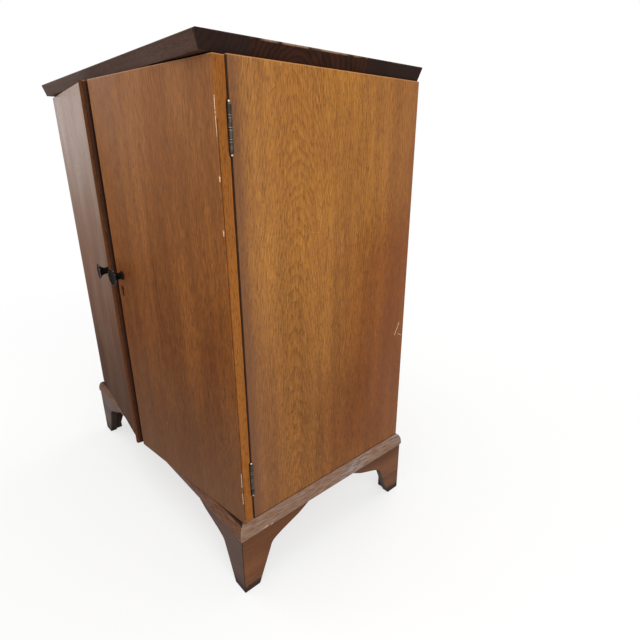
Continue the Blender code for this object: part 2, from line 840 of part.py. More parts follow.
def door_bolt(reach, door, door_board, cabinet, case_board, materials):
    """Make the bolt inside the left door, its guides, its screws and its keep."""
    brass = materials["brass"]
    x = reach - door_bolt_edge_distance
    y = door_inner_y + door_bolt_standoff
    tip = top_board_bottom - door_bolt_tip_gap
    plate_top = tip - bolt_plate_below_tip
    plate_bottom = plate_top - bolt_plate_length
    plate_face = door_inner_y + seat_gap + bolt_plate_thickness
    half = bolt_plate_width / 2
    bm = bmesh.new()
    box(bm, (x - half, door_inner_y + seat_gap, plate_bottom), (x + half, plate_face, plate_top))
    plate = make_object("door_bolt_plate", bm, door, brass)
    bore = door_bolt_radius + fit_gap
    cheek = bore + guide_wall
    guides = bmesh.new()
    for low in (plate_bottom, plate_top - guide_length):
        low = low + seat_gap
        high = low + guide_length - 2 * seat_gap
        box(guides, (x - cheek, plate_face - seat_gap, low), (x + cheek, y + cheek, high))
    combine(plate, make_helper("door_bolt_guides", guides, door), "UNION")
    drill = bmesh.new()
    cylinder(
        drill, bore, plate_bottom - overrun, plate_top + overrun, door_bolt_segments,
        Matrix.Translation((x, y, 0)),
    )
    combine(plate, make_helper("door_bolt_bore", drill, door), "DIFFERENCE")

    side_run = (half + cheek) / 2
    gap = bolt_plate_length / 2
    middle = (plate_top + plate_bottom) / 2
    places = [
        facing((0, 1, 0), (x + sx * side_run, plate_face, middle + sz * gap / 2))
        for sx in (-1, 1) for sz in (-1, 1)
    ]
    combine(plate, screw_drill("door_bolt_plate", places, door, screw_length), "DIFFERENCE")

    bm = bmesh.new()
    bottom = tip - door_bolt_length
    turned(
        bm, [(0, bottom), (door_bolt_radius, bottom), (door_bolt_radius, tip - door_bolt_radius / 2),
             (door_bolt_radius / 2, tip), (0, tip)],
        door_bolt_segments, Matrix.Translation((x, y, 0)),
    )
    rod = make_object("door_bolt", bm, door, brass)
    knob_z_low = plate_bottom + guide_length + door_bolt_knob_radius + seat_gap
    bm = bmesh.new()
    cylinder(
        bm, door_bolt_knob_radius, 0, door_bolt_radius + door_bolt_knob_length,
        door_bolt_segments, facing((0, 1, 0), (x, y, knob_z_low)),
    )
    combine(rod, make_helper("door_bolt_knob", bm, door), "UNION")

    case_x = -pin_x + x
    case_y = pin_y + y
    hole = bmesh.new()
    depth = door_bolt_throw - door_bolt_tip_gap + overrun
    cylinder(
        hole, bore + strike_clearance, top_board_bottom - overrun - keep_thickness,
        top_board_bottom + depth, door_bolt_segments, Matrix.Translation((case_x, case_y, 0)),
    )
    socket = make_helper("door_bolt_socket", hole, cabinet)
    combine(case_board, socket, "DIFFERENCE")
    bm = bmesh.new()
    high = top_board_bottom - seat_gap
    box(
        bm, (case_x - keep_length / 2, keep_set_back, high - keep_thickness),
        (case_x + keep_length / 2, keep_set_back + keep_width, high),
    )
    keep = make_object("door_bolt_keep", bm, cabinet, brass)
    combine(keep, socket, "DIFFERENCE")


def top_screws(cabinet, boards, slab, materials):
    """Make the four screws that hold the top slab from inside the case."""
    x = inner_half_width - top_screw_inset
    depths = (("front", top_screw_inset), ("back", back_face - top_screw_inset))
    places = []
    for side_name, side in SIDES:
        for end, y in depths:
            place = facing((0, 0, -1), (side * x, y, top_board_bottom))
            places.append(place)
            bm = bmesh.new()
            turned(bm, screw_shape(top_screw_length), screw_segments, place)
            make_object(f"{end}_{side_name}_top_screw", bm, cabinet, materials["steel"])
    drills = screw_drill("top_slab", places, cabinet, top_screw_length)
    combine(boards["case_top_board"], drills, "DIFFERENCE")
    combine(slab, drills, "DIFFERENCE")


def build():
    """Put the cabinet together."""
    clear_scene()
    materials = {
        "side": make_material("side_veneer", "#85573a", 0.42),
        "door": make_material("door_veneer", "#75503d", 0.40),
        "astragal": make_material("astragal_wood", "#6b4334", 0.40),
        "top": make_material("ebonised_top", "#3a302c", 0.45),
        "rail": make_material("worn_rail", "#7f6454", 0.55),
        "foot": make_material("foot_wood", "#704a35", 0.50),
        "inside": make_material("inside_wood", "#8a6a4d", 0.60),
        "back": make_material("back_board", "#7a6048", 0.70),
        "bronze": make_material("dark_bronze", "#3d352f", 0.40, 1),
        "knob": make_material("black_bronze", "#2a2523", 0.35, 1),
        "brass": make_material("brass", "#a98b55", 0.35, 1),
        "steel": make_material("zinc_steel", "#9a9a98", 0.40, 1),
    }
    cabinet = make_empty("cabinet_origin", None, Matrix.Translation((0, origin_y, 0)))
    angles = {"right": right_door_angle, "left": left_door_angle}
    doors = {}
    for side_name, side in SIDES:
        swing = Matrix.Rotation(side * angles[side_name], 4, "Z")
        place = Matrix.Translation((side * pin_x, pin_y, 0)) @ swing
        doors[side_name] = make_empty(side_name + "_door_pivot", cabinet, place)
    reaches = {"right": right_door_reach, "left": left_door_reach}
    knob_insets = {"right": right_knob_edge_distance, "left": left_knob_edge_distance}

    slab = top_slab(cabinet, materials)
    boards = case_boards(cabinet, materials)
    base_rails(cabinet, materials)
    feet(cabinet, materials)
    panels = {}
    for side_name, side in SIDES:
        side_panel(side_name + "_side", side, cabinet, materials)
        door, reach = doors[side_name], reaches[side_name]
        panels[side_name] = door_panel(side_name, side, reach, door, materials["door"])
        hinges(side_name, side, cabinet, door, materials)
        knob_x = -side * (reach - knob_insets[side_name])
        knob(side_name, knob_x, door, panels[side_name], materials)
    lock(reaches["right"], doors["right"], panels["right"], materials)
    astragal(reaches["left"], doors["left"], materials)
    strike(reaches["left"], doors["left"], panels["left"], materials)
    door_bolt(
        reaches["left"], doors["left"], panels["left"], cabinet, boards["case_top_board"],
        materials,
    )
    top_screws(cabinet, boards, slab, materials)


build()
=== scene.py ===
import math

import bmesh
import bpy
from mathutils import Matrix, Vector


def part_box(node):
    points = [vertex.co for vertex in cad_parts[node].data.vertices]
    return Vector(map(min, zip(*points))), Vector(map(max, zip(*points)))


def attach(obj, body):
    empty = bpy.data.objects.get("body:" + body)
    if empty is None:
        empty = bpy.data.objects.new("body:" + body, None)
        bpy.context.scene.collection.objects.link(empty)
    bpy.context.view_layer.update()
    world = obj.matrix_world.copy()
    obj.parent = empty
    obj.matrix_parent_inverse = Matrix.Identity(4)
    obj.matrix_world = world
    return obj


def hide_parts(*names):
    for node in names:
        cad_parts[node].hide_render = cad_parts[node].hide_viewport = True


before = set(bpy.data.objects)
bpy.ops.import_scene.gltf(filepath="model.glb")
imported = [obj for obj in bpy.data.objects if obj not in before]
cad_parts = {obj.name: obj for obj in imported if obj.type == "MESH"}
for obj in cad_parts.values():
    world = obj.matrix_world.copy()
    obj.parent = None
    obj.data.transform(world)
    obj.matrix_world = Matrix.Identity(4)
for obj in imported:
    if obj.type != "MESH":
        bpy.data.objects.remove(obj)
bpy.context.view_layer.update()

# The camera
# It stands where the photograph was taken: off the right front corner, a little lower
# than the top, looking down and to the left.
case_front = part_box("right_side")[0].y
camera_place = (0.9879, case_front - 0.3734, 0.8211)
camera_left_turn = math.radians(48.10)
camera_down_tilt = math.radians(20.29)
camera_lens = 26.04
camera_sensor = 36


def show(name, data):
    """Put an object that holds this data in the scene."""
    shown = bpy.data.objects.new(name, data)
    bpy.context.scene.collection.objects.link(shown)
    return shown


lens = bpy.data.cameras.new("camera")
lens.lens = camera_lens
lens.sensor_width = camera_sensor
camera = show("camera", lens)
camera.location = camera_place
camera.rotation_euler = (math.pi / 2 - camera_down_tilt, 0, camera_left_turn)
bpy.context.scene.camera = camera
bpy.context.scene.view_settings.view_transform = "Standard"


# The studio
# A plain pale floor under a white surround. A large soft box stands at the cabinet's
# right, another hangs over it, and a weaker pair fills the left side and the back.
surround_light = 0.42
floor_reach = 30
floor_white = "#f6f6f5"
floor_glow = 0.66
floor_near = 0.8
floor_far = 2.2
soft_boxes = (
    ("right_soft_box", (2.7, -0.9, 2.1), 2.2, 52),
    ("top_soft_box", (0.3, -0.5, 3.2), 2.4, 40),
    ("left_soft_box", (-2.6, -1.5, 1.9), 2.2, 20),
    ("back_soft_box", (-0.6, 3.0, 1.9), 2.2, 36),
)
light_aim = (0, 0, 0.5)


def paint(hex_colour):
    """Turn an sRGB hex colour into the linear colour that a shader takes."""
    channels = [int(hex_colour[i:i + 2], 16) / 255 for i in (1, 3, 5)]
    return (*(c / 12.92 if c <= 0.04045 else ((c + 0.055) / 1.055) ** 2.4 for c in channels), 1)


def add(tree, kind, inputs=None, **settings):
    """Add a node with its settings; each input takes a value, a socket, or another node.

    The kind of a shader node may leave out its first word, ShaderNode.
    """
    made = tree.nodes.new(kind if "Node" in kind else "ShaderNode" + kind)
    for name, value in settings.items():
        setattr(made, name, value)
    for key, value in (inputs or {}).items():
        taken = [s for s in made.inputs if s.enabled and s.name == key]
        socket = taken[0] if taken else made.inputs[key]
        if isinstance(value, bpy.types.Node):
            value = next(s for s in value.outputs if s.enabled)
        if isinstance(value, bpy.types.NodeSocket):
            tree.links.new(value, socket)
        else:
            socket.default_value = value
    return made


def fresh(material_name):
    """Make an empty material, and return it with its node tree."""
    material = bpy.data.materials.new(material_name)
    material.use_nodes = True
    material.node_tree.nodes.clear()
    return material, material.node_tree


def seen_directly(tree):
    """Give 1 where the camera, a reflection or a glass looks straight at a surface."""
    path = add(tree, "LightPath")
    first = add(tree, "Math", {
        0: path.outputs["Is Camera Ray"], 1: path.outputs["Is Glossy Ray"]}, operation="MAXIMUM")
    return add(tree, "Math", {0: first, 1: path.outputs["Is Transmission Ray"]},
               operation="MAXIMUM")


surround = bpy.data.worlds.new("white_surround")
surround.use_nodes = True
surround.node_tree.nodes.clear()
strength = add(surround.node_tree, "MapRange",
               {"Value": seen_directly(surround.node_tree), "To Min": surround_light, "To Max": 1})
add(surround.node_tree, "OutputWorld", {"Surface": add(
    surround.node_tree, "Background", {"Color": (1, 1, 1, 1), "Strength": strength})})
bpy.context.scene.world = surround

painted_floor, tree = fresh("white_painted_floor")
matt = add(tree, "BsdfDiffuse", {"Color": paint(floor_white)})
glow = add(tree, "Emission", {"Color": (1, 1, 1, 1), "Strength": 1})
whole = add(tree, "TexCoord").outputs["Object"]
away = add(tree, "VectorMath", {0: whole}, operation="LENGTH").outputs["Value"]
share = add(tree, "MapRange", {
    "Value": away, "From Min": floor_near, "From Max": floor_far, "To Min": floor_glow,
    "To Max": 1})
share = add(tree, "Math", {0: seen_directly(tree), 1: share}, operation="MULTIPLY")
add(tree, "OutputMaterial", {"Surface": add(tree, "MixShader", {"Fac": share, 1: matt, 2: glow})})
corners = ((-1, -1), (1, -1), (1, 1), (-1, 1))
floor_mesh = bpy.data.meshes.new("floor")
floor_mesh.from_pydata([(floor_reach * x, floor_reach * y, 0) for x, y in corners], [], [range(4)])
floor_mesh.materials.append(painted_floor)
floor = show("floor", floor_mesh)

for name, place, size, watts in soft_boxes:
    lamp = bpy.data.lights.new(name, "AREA")
    lamp.size = size
    lamp.energy = watts
    holder = show(name, lamp)
    holder.location = place
    holder.rotation_euler = (Vector(light_aim) - Vector(place)).to_track_quat("-Z", "Y").to_euler()


# The two sides of the case
# Boards faced with flat-cut walnut veneer, grain upright, under a satin lacquer that has
# turned golden. The front and back edges have kept a redder tone, and moves and knocks
# have left a few pale scratches. Painted shade darkens the lower part, a patch low at the
# back, the front arris and the bottom edge; a painted highlight lines the top edge.
both_sides = (("right", 1), ("left", -1))
side_face = 0.3845
side_pith_depth = 0.015
side_pith_y = -0.035
side_ring_width = 0.0047
side_taper = 0.175
side_shades = ("#bf8138", "#663a14", "#3a220f")
side_weights = (0.24, 0.48, 0.22)
side_roughness = (0.36, 0.48)
side_red = "#7a4930"
side_red_clouds = 0.22
# Painted shade: the lower part of each side is darkened through a multiply, from 0.70 m down to 0.34
# m.
side_low_painted_shade = (0.70, 0.34, "#d8cfca")
# Painted shade: a soft patch low toward the back of each side, darkened through a warm tint.
side_painted_shade = ((side_face, 0.190, 0.60), (side_face, 0.130, 0.25), 0.105)
side_painted_shade_tint = "#e2c995"
# Painted shadow: a near-black line down the front arris of each side, beside the door's gap.
side_arris_ends = (0.16, 0.94)
side_arris_width = 0.0014
side_arris_painted_shadow = ("#160d08", 0.85)
# A fade is where it starts and ends, the colour that it brings, and how strongly.
side_haze = (-0.070, -0.165, "#8f6a50", 0.26)
side_front_margin = (-0.144, -0.162, "#5c3a2c", 0.62)
side_back_margin = (0.110, 0.249, side_red, 0.45)
# Painted highlight: a pale line along the top edge of each side, as light catching it.
side_top_painted_highlight = (0.9385, 0.9398, "#c9905c", 0.55)
# Painted shadow: a dark line along the bottom edge of each side, where it meets the rail.
side_bottom_painted_shadow = (0.1608, 0.1590, "#2c1a10", 0.75)
# A mark is a stroke from one place to another, and its width.
side_scratches = (
    ((side_face, 0.2337, 0.4564), (side_face, 0.2203, 0.4309), 0.0009),
    ((side_face, 0.2315, 0.4310), (side_face, 0.2435, 0.4246), 0.0005),
)
side_rubs = (
    ((side_face, 0.1041, 0.8876), (side_face, 0.1060, 0.9004), 0.0009),
    ((side_face, -0.0308, 0.6881), (side_face, -0.0033, 0.6833), 0.0005),
)
side_dents = (
    ((side_face, -0.1000, 0.8986), (side_face, -0.0906, 0.9065), 0.0006),
    ((side_face, -0.0588, 0.8470), (side_face, -0.0588, 0.8450), 0.0009),
    ((side_face, 0.1211, 0.9366), (side_face, 0.1211, 0.9370), 0.0008),
)
side_scratch_colour = ("#e6c39c", 0.95)
side_rub_colour = ("#c08d60", 0.35)
side_dent_colour = ("#3f2412", 0.55)

# Figure sizes in metres: across, across and along the grain, with the noise's range and
# detail. A real pore is 0.2 mm wide, and is drawn coarser, because it wouldn't show.
# A value that ends in per_metre is a noise's scale.
figure_patterns = {
    "Bands": ((0.030, 0.030, 0.42), 0.36, 0.64, 2),
    "Streaks": ((0.0015, 0.0015, 0.022), 0.34, 0.66, 2),
    "Pores": ((0.0011, 0.0011, 0.0085), 0.53, 0.67, 1),
    "Clouds": ((0.10, 0.10, 0.24), 0.38, 0.62, 1),
}
weave_size = (0.030, 0.030, 0.110)
weave_reach = 0.006
wander_size = (0.20, 0.20, 0.45)
wander_reach = 0.06
ring_ripple_size = (0.012, 0.012, 0.050)
ring_ripple = 0.85
ring_sharpness = 2.2
stroke_fade_shares = (1.5, 0.4)
torn_per_metre = 420
torn_range = (0.38, 0.50)
arris_agreement = (0.99, 0.90)


def start_group(name, kind, inputs, outputs):
    """Start a group of nodes, and return it with what it is given."""
    group = bpy.data.node_groups.new(name, kind + "NodeTree")
    for way, sockets in (("INPUT", inputs), ("OUTPUT", outputs)):
        for socket, held in sockets.items():
            group.interface.new_socket(socket, in_out=way, socket_type="NodeSocket" + held)
    return group, add(group, "NodeGroupInput").outputs


def make_log_figure():
    """Make the group that gives the figure at a place in a log whose grain runs along z."""
    group, given = start_group("log_figure", "Shader", {
        "Place": "Vector", "Pith": "Vector", "Ring Width": "Float", "Taper": "Float",
    }, dict.fromkeys([*figure_patterns, "Rings"], "Float"))

    def noise(place, size, detail):
        scaled = add(group, "VectorMath", {0: place, 1: size}, operation="DIVIDE")
        return add(group, "TexNoise", {"Vector": scaled, "Scale": 1, "Detail": detail})

    def pushed(place, size, reach):
        push = noise(place, size, 1).outputs["Color"]
        return add(group, "VectorMath", {0: push, 1: (reach, reach, 0), 2: place},
                   operation="MULTIPLY_ADD")

    wavy = pushed(given["Place"], weave_size, weave_reach)
    results = {}
    for name, (size, low, high, detail) in figure_patterns.items():
        results[name] = add(group, "MapRange", {
            "Value": noise(wavy, size, detail), "From Min": low, "From Max": high})
    shifted = pushed(given["Place"], wander_size, wander_reach)
    arm = add(group, "VectorMath", {0: shifted, 1: given["Pith"]}, operation="SUBTRACT")
    flat = add(group, "VectorMath", {0: arm, 1: (1, 1, 0)}, operation="MULTIPLY")
    radius = add(group, "VectorMath", {0: flat}, operation="LENGTH").outputs["Value"]
    height = add(group, "SeparateXYZ", {0: given["Place"]}).outputs["Z"]
    grown = add(group, "Math", {0: height, 1: given["Taper"], 2: radius}, operation="MULTIPLY_ADD")
    count = add(group, "Math", {0: grown, 1: given["Ring Width"]}, operation="DIVIDE")
    uneven = add(group, "Math", {
        0: noise(given["Place"], ring_ripple_size, 1), 1: ring_ripple, 2: count},
        operation="MULTIPLY_ADD")
    part = add(group, "Math", {0: uneven}, operation="FRACT")
    results["Rings"] = add(group, "Math", {0: part, 1: ring_sharpness}, operation="POWER")
    add(group, "NodeGroupOutput", results)
    return group


def make_stroke():
    """Make the group that masks one scratch, dent or stain between two points."""
    group, given = start_group("stroke", "Shader", {
        "Place": "Vector", "Start": "Vector", "End": "Vector", "Width": "Float",
    }, {"Mask": "Float"})
    from_start = add(group, "VectorMath", {0: given["Place"], 1: given["Start"]},
                     operation="SUBTRACT")
    run = add(group, "VectorMath", {0: given["End"], 1: given["Start"]}, operation="SUBTRACT")
    covered = add(group, "VectorMath", {0: from_start, 1: run}, operation="DOT_PRODUCT")
    whole = add(group, "VectorMath", {0: run, 1: run}, operation="DOT_PRODUCT")
    part = add(group, "Math", {0: covered.outputs["Value"], 1: whole.outputs["Value"]},
               operation="DIVIDE", use_clamp=True)
    nearest = add(group, "VectorMath", {0: run, "Scale": part}, operation="SCALE")
    away = add(group, "VectorMath", {0: from_start, 1: nearest}, operation="DISTANCE")
    share = add(group, "Math", {0: away.outputs["Value"], 1: given["Width"]}, operation="DIVIDE")
    outer, inner = stroke_fade_shares
    mask = add(group, "MapRange", {"Value": share, "From Min": outer, "From Max": inner})
    add(group, "NodeGroupOutput", {"Mask": mask})
    return group


log_figure = make_log_figure()
stroke = make_stroke()


def placed(tree, origin=(0, 0, 0), turn=(0, 0, 0)):
    """Give the place on a piece in metres, from an origin and turned so z is the grain."""
    whole = add(tree, "TexCoord")
    return add(tree, "Mapping", {
        "Vector": whole.outputs["Object"], "Location": origin, "Rotation": turn,
    }, vector_type="TEXTURE")


def mixed(tree, colour, mask, hex_colour, strength=1):
    """Lay another colour over a colour where a mask is."""
    if strength != 1:
        mask = add(tree, "Math", {0: mask, 1: strength}, operation="MULTIPLY")
    return add(tree, "Mix", {"Factor": mask, "A": colour, "B": paint(hex_colour)},
               data_type="RGBA")


def timber(tree, place, shades, pith, ring_width, taper, weights=(0.26, 0.34, 0.30), pores=0.5):
    """Colour a piece of timber: pale and dark wood by its bands, streaks and rings."""
    figure = add(tree, "Group", {
        "Place": place, "Pith": pith, "Ring Width": ring_width, "Taper": taper,
    }, node_tree=log_figure)
    tone = 0
    for name, weight in zip(("Bands", "Streaks", "Rings"), weights):
        tone = add(tree, "Math", {0: figure.outputs[name], 1: weight, 2: tone},
                   operation="MULTIPLY_ADD")
    pale, dark, pore = shades
    colour = mixed(tree, paint(pale), tone, dark)
    return figure, mixed(tree, colour, figure.outputs["Pores"], pore, pores)


def stained(tree, colour, mask, hex_colour):
    """Darken a colour through a stain, so that its figure still shows."""
    return add(tree, "Mix", {"Factor": mask, "A": colour, "B": paint(hex_colour)},
               data_type="RGBA", blend_type="MULTIPLY")


def between(tree, value, start, end):
    """Fade from 0 at one value to 1 at another."""
    return add(tree, "MapRange", {"Value": value, "From Min": start, "From Max": end})


def overlap(tree, first, second):
    """Mask where two masks meet."""
    return add(tree, "Math", {0: first, 1: second}, operation="MULTIPLY")


def faded(tree, colour, value, fade):
    """Lay a colour over where a value passes from the start of a fade to its end."""
    start, end, hex_colour, strength = fade
    return mixed(tree, colour, between(tree, value, start, end), hex_colour, strength)


def strokes(tree, place, marks):
    """Mask several strokes at once."""
    mask = 0
    for start, end, width in marks:
        mark = add(tree, "Group", {
            "Place": place, "Start": start, "End": end, "Width": width,
        }, node_tree=stroke)
        mask = add(tree, "Math", {0: mark, 1: mask}, operation="MAXIMUM")
    return mask


def chips(tree, place, marks):
    """Mask strokes whose edges are torn, as where finish has flaked off."""
    torn = add(tree, "TexNoise", {"Vector": place, "Scale": torn_per_metre, "Detail": 3})
    return overlap(tree, strokes(tree, place, marks), between(tree, torn, *torn_range))


def lacquer(tree, colour, figure, roughness, shine=0.12, edge=0.0010, relief=0.00005, dulled=0):
    """Finish timber: open pores sink a little, and the arrises are eased."""
    smooth, dull = roughness
    rough = add(tree, "MapRange", {
        "Value": figure.outputs["Clouds"], "To Min": smooth, "To Max": dull})
    rough = add(tree, "Math", {0: rough, 1: dulled}, operation="ADD")
    eased = add(tree, "Bevel", {"Radius": edge}, samples=4)
    sunk = add(tree, "Bump", {
        "Height": figure.outputs["Pores"], "Distance": relief, "Normal": eased,
    }, invert=True)
    shader = add(tree, "BsdfPrincipled", {
        "Base Color": colour, "Roughness": rough, "Normal": sunk, "IOR": 1.5,
        "Specular IOR Level": shine,
    })
    add(tree, "OutputMaterial", {"Surface": shader})


def rubbed_edges(tree, radius, broken_size, low=0.47, high=0.60):
    """Mask the arrises where handling has rubbed the finish off, in broken lengths."""
    eased = add(tree, "Bevel", {"Radius": radius}, samples=6)
    flat = add(tree, "NewGeometry")
    agreement = add(tree, "VectorMath", {0: eased, 1: flat.outputs["Normal"]},
                    operation="DOT_PRODUCT")
    near = between(tree, agreement.outputs["Value"], *arris_agreement)
    whole = add(tree, "TexCoord")
    gaps = add(tree, "TexNoise", {
        "Vector": whole.outputs["Object"], "Scale": 1 / broken_size, "Detail": 3,
    })
    return overlap(tree, near, between(tree, gaps, low, high))


def dress(names, material):
    """Give CAD pieces their finish."""
    for name in names:
        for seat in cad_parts[name].material_slots:
            seat.material = material


for side_name, sign in both_sides:
    walnut, tree = fresh(f"{side_name}_side_walnut_veneer")
    place = placed(tree)
    pith = (sign * (side_face - side_pith_depth), side_pith_y, 0)
    figure, colour = timber(tree, place, side_shades, pith, side_ring_width, side_taper,
                            side_weights)
    colour = mixed(tree, colour, figure.outputs["Clouds"], side_red, side_red_clouds)
    spot = add(tree, "SeparateXYZ", {0: place}).outputs
    start, end, stain = side_low_painted_shade
    colour = stained(tree, colour, between(tree, spot["Z"], start, end), stain)
    colour = stained(tree, colour, strokes(tree, place, [side_painted_shade]), side_painted_shade_tint)
    for fade in (side_haze, side_front_margin, side_back_margin):
        colour = faded(tree, colour, spot["Y"], fade)
    arris = (*[(sign * side_face, case_front, end) for end in side_arris_ends], side_arris_width)
    colour = mixed(tree, colour, strokes(tree, place, [arris]), *side_arris_painted_shadow)
    for fade in (side_top_painted_highlight, side_bottom_painted_shadow):
        colour = faded(tree, colour, spot["Z"], fade)
    if sign > 0:
        colour = mixed(tree, colour, strokes(tree, place, side_dents), *side_dent_colour)
        colour = mixed(tree, colour, strokes(tree, place, side_rubs), *side_rub_colour)
        colour = mixed(tree, colour, chips(tree, place, side_scratches), *side_scratch_colour)
    lacquer(tree, colour, figure, side_roughness)
    dress([f"{side_name}_side"], walnut)


# The two doors
# Flat boards with walnut veneer on both faces and lipped edges, each hung on two butt
# hinges. The right door carries the lock. Its hinge edge is chipped pale, and the finish
# is duller low down. Their colour carries painted light: lighter toward the top, darker
# low down, with painted shadow in the keyhole, beside the knob and in the meeting gap.
door_pivot = (0.3865, case_front - 0.00135)
door_reach = {"right": 0.3784, "left": 0.3920}
door_angle = {"right": math.radians(6.10), "left": math.radians(-6.60)}
door_front = -0.02195
door_end = 0.0020
lipping_width = 0.0010
lipping_shades = ("#a0632a", "#6b3c18", "#482812")
# The free ends are stained dark brown, and darker still as painted shade of the gap between the doors.
free_end_stain_and_shade = ("#4c2a1a", "#361d12", "#20110b")
lipping_log = ((0, 0.05, 0), 0.002, 0.01)
glue_line = -0.0198
seam_ends = (0.86, 0.17)
seam_width = 0.0009
seam_dirt = ("#43230f", 0.85)
# The left door's shades are darker than the right's as painted shade, for the less light that reaches
# it.
door_shades = {
    "right": ("#ad6e2f", "#623512", "#35200d"),
    "left": ("#905e2d", "#533112", "#2d1c0c"),
}
door_red = ("#70432c", 0.30)
# Painted shade: each door is darkened through multiplies from 0.88 m down, more below 0.62 m.
door_middle_painted_shade = (0.88, 0.64, "#eae0cf")
door_low_painted_shade = (0.62, 0.30, "#d9d2d6")
# Painted light at each door's foot: a pale grey as painted reflection on the right door, near-black as
# painted shade on the left.
door_foot_painted_reflection_and_shade = {"right": (0.48, 0.16, "#765c49", 0.42), "left": (0.48, 0.16, "#140d08", 0.42)}
# Painted light: the upper part of each door is lightened toward the top.
door_upper_painted_light = (0.58, 0.86, "#9c6840", 0.25)
# Painted highlight: a pale line along each door's top edge, as light catching it.
door_top_painted_highlight = (0.9365, 0.9380, "#c4946c", 0.50)
door_rub = (0.0009, 0.05, 0.52, 0.62)
door_rub_strength = 0.25
# Painted shadow: the back of the left door's meeting edge is darkened, as the shade deep in the gap
# between the doors.
meeting_edge_width = 0.0020
meeting_edge_reach = (-0.0190, -0.0150)
meeting_edge_painted_shadow = ("#150d08", 0.75)
door_shine = {"right": (0.38, 0.50, 0.06), "left": (0.20, 0.30, 0.09)}
door_dulled = {"right": 0.25, "left": 0.50}
door_dulled_reach = (0.84, 0.30)
door_pith = (-0.19, 0.09, 0)
door_ring_width = 0.0034
door_taper = 0.030
door_weights = (0.30, 0.62, 0.16)
pale_chip = "#e8caa6"
chip_strength = 0.95
door_chips = (
    ((-0.0026, door_front, 0.8879), (-0.0026, door_front, 0.8602), 0.0006),
    ((-0.0026, door_front, 0.8600), (-0.0022, door_front, 0.8370), 0.0005),
    ((-0.0030, door_front, 0.7840), (-0.0027, door_front, 0.7785), 0.0012),
    ((-0.0030, door_front, 0.7080), (-0.0030, door_front, 0.7010), 0.0009),
    ((0.0000, -0.0205, 0.6925), (0.0000, -0.0090, 0.6935), 0.0004),
    ((-0.0024, door_front, 0.2741), (-0.0024, door_front, 0.2462), 0.0006),
    ((-0.0024, door_front, 0.2300), (-0.0024, door_front, 0.2080), 0.0007),
    ((-0.2490, door_front, 0.2731), (-0.2490, door_front, 0.2735), 0.0007),
)
# Painted shade: near-black inside the keyhole and down its slot on the face, as the dark within the
# hole.
keyhole_painted_shade = (
    ((-0.3619, -0.0240, 0.5508), (-0.3619, -0.0060, 0.5508), 0.0050),
    ((-0.3619, door_front, 0.5503), (-0.3619, door_front, 0.5370), 0.0031),
)
keyhole_painted_shade_colour = ("#0f0a07", 0.95)
# Painted shadow: a soft redder, darker patch beside the right knob, as the knob's shadow on the door.
knob_painted_shadow = ((-0.3420, door_front, 0.5790), (-0.3400, door_front, 0.5760), 0.0170)
knob_painted_shadow_colour = ("#7a3f24", 0.55)

for side_name, sign in both_sides:
    walnut, tree = fresh(f"{side_name}_door_walnut_veneer")
    pivot = (sign * door_pivot[0], door_pivot[1], 0)
    place = placed(tree, pivot, (0, 0, door_angle[side_name]))
    pith = (sign * door_pith[0], door_pith[1], 0)
    figure, colour = timber(tree, place, door_shades[side_name], pith, door_ring_width,
                            door_taper, door_weights)
    colour = mixed(tree, colour, figure.outputs["Clouds"], *door_red)
    spot = add(tree, "SeparateXYZ", {0: place}).outputs
    for start, end, stain in (door_middle_painted_shade, door_low_painted_shade):
        colour = stained(tree, colour, between(tree, spot["Z"], start, end), stain)
    for fade in (door_foot_painted_reflection_and_shade[side_name], door_upper_painted_light):
        colour = faded(tree, colour, spot["Z"], fade)
    run = add(tree, "Math", {0: spot["X"], 1: -sign}, operation="MULTIPLY")
    for ended, limit, faced, shades in (
        ("LESS_THAN", door_end + lipping_width, glue_line, lipping_shades),
        ("GREATER_THAN", door_reach[side_name] - lipping_width, 2 * door_front,
         free_end_stain_and_shade),
    ):
        lipping = add(tree, "Math", {0: run, 1: limit}, operation=ended)
        behind = add(tree, "Math", {0: spot["Y"], 1: faced}, operation="GREATER_THAN")
        _, solid = timber(tree, place, shades, *lipping_log)
        colour = add(tree, "Mix", {
            "Factor": overlap(tree, lipping, behind), "A": colour, "B": solid}, data_type="RGBA")
    seam = (*[(-sign * door_end, glue_line, end) for end in seam_ends], seam_width)
    colour = mixed(tree, colour, strokes(tree, place, [seam]), *seam_dirt)
    colour = faded(tree, colour, spot["Z"], door_top_painted_highlight)
    colour = mixed(tree, colour, rubbed_edges(tree, *door_rub), pale_chip, door_rub_strength)
    if sign < 0:
        at_edge = add(tree, "Math", {
            0: run, 1: door_reach[side_name] - meeting_edge_width}, operation="GREATER_THAN")
        at_edge = overlap(tree, at_edge, between(tree, spot["Y"], *meeting_edge_reach))
        colour = mixed(tree, colour, at_edge, *meeting_edge_painted_shadow)
    if sign > 0:
        knob_shadow = strokes(tree, place, [knob_painted_shadow])
        colour = mixed(tree, colour, knob_shadow, *knob_painted_shadow_colour)
        colour = mixed(tree, colour, strokes(tree, place, keyhole_painted_shade), *keyhole_painted_shade_colour)
        colour = mixed(tree, colour, chips(tree, place, door_chips), pale_chip, chip_strength)
    smooth, dull, shine = door_shine[side_name]
    dulled = add(tree, "Math", {
        0: between(tree, spot["Z"], *door_dulled_reach), 1: door_dulled[side_name],
        2: strokes(tree, place, keyhole_painted_shade if sign > 0 else ())},
        operation="MULTIPLY_ADD", use_clamp=True)
    lacquer(tree, colour, figure, (smooth, dull), shine, dulled=dulled)
    dress([f"{side_name}_door_panel"], walnut)


# The astragal
# A rounded bead of solid walnut glued along the left door's meeting edge. It hides the
# gap between the doors, and its stain is redder than the veneer's.
astragal_shades = ("#663c23", "#452715", "#28160d")
astragal_log = ((0.3, 0.04, 0), 0.003, 0.01)
astragal_finish = ((0.66, 0.76), 0.02)
astragal_stand = ((-door_pivot[0], door_pivot[1], 0), (0, 0, door_angle["left"]))


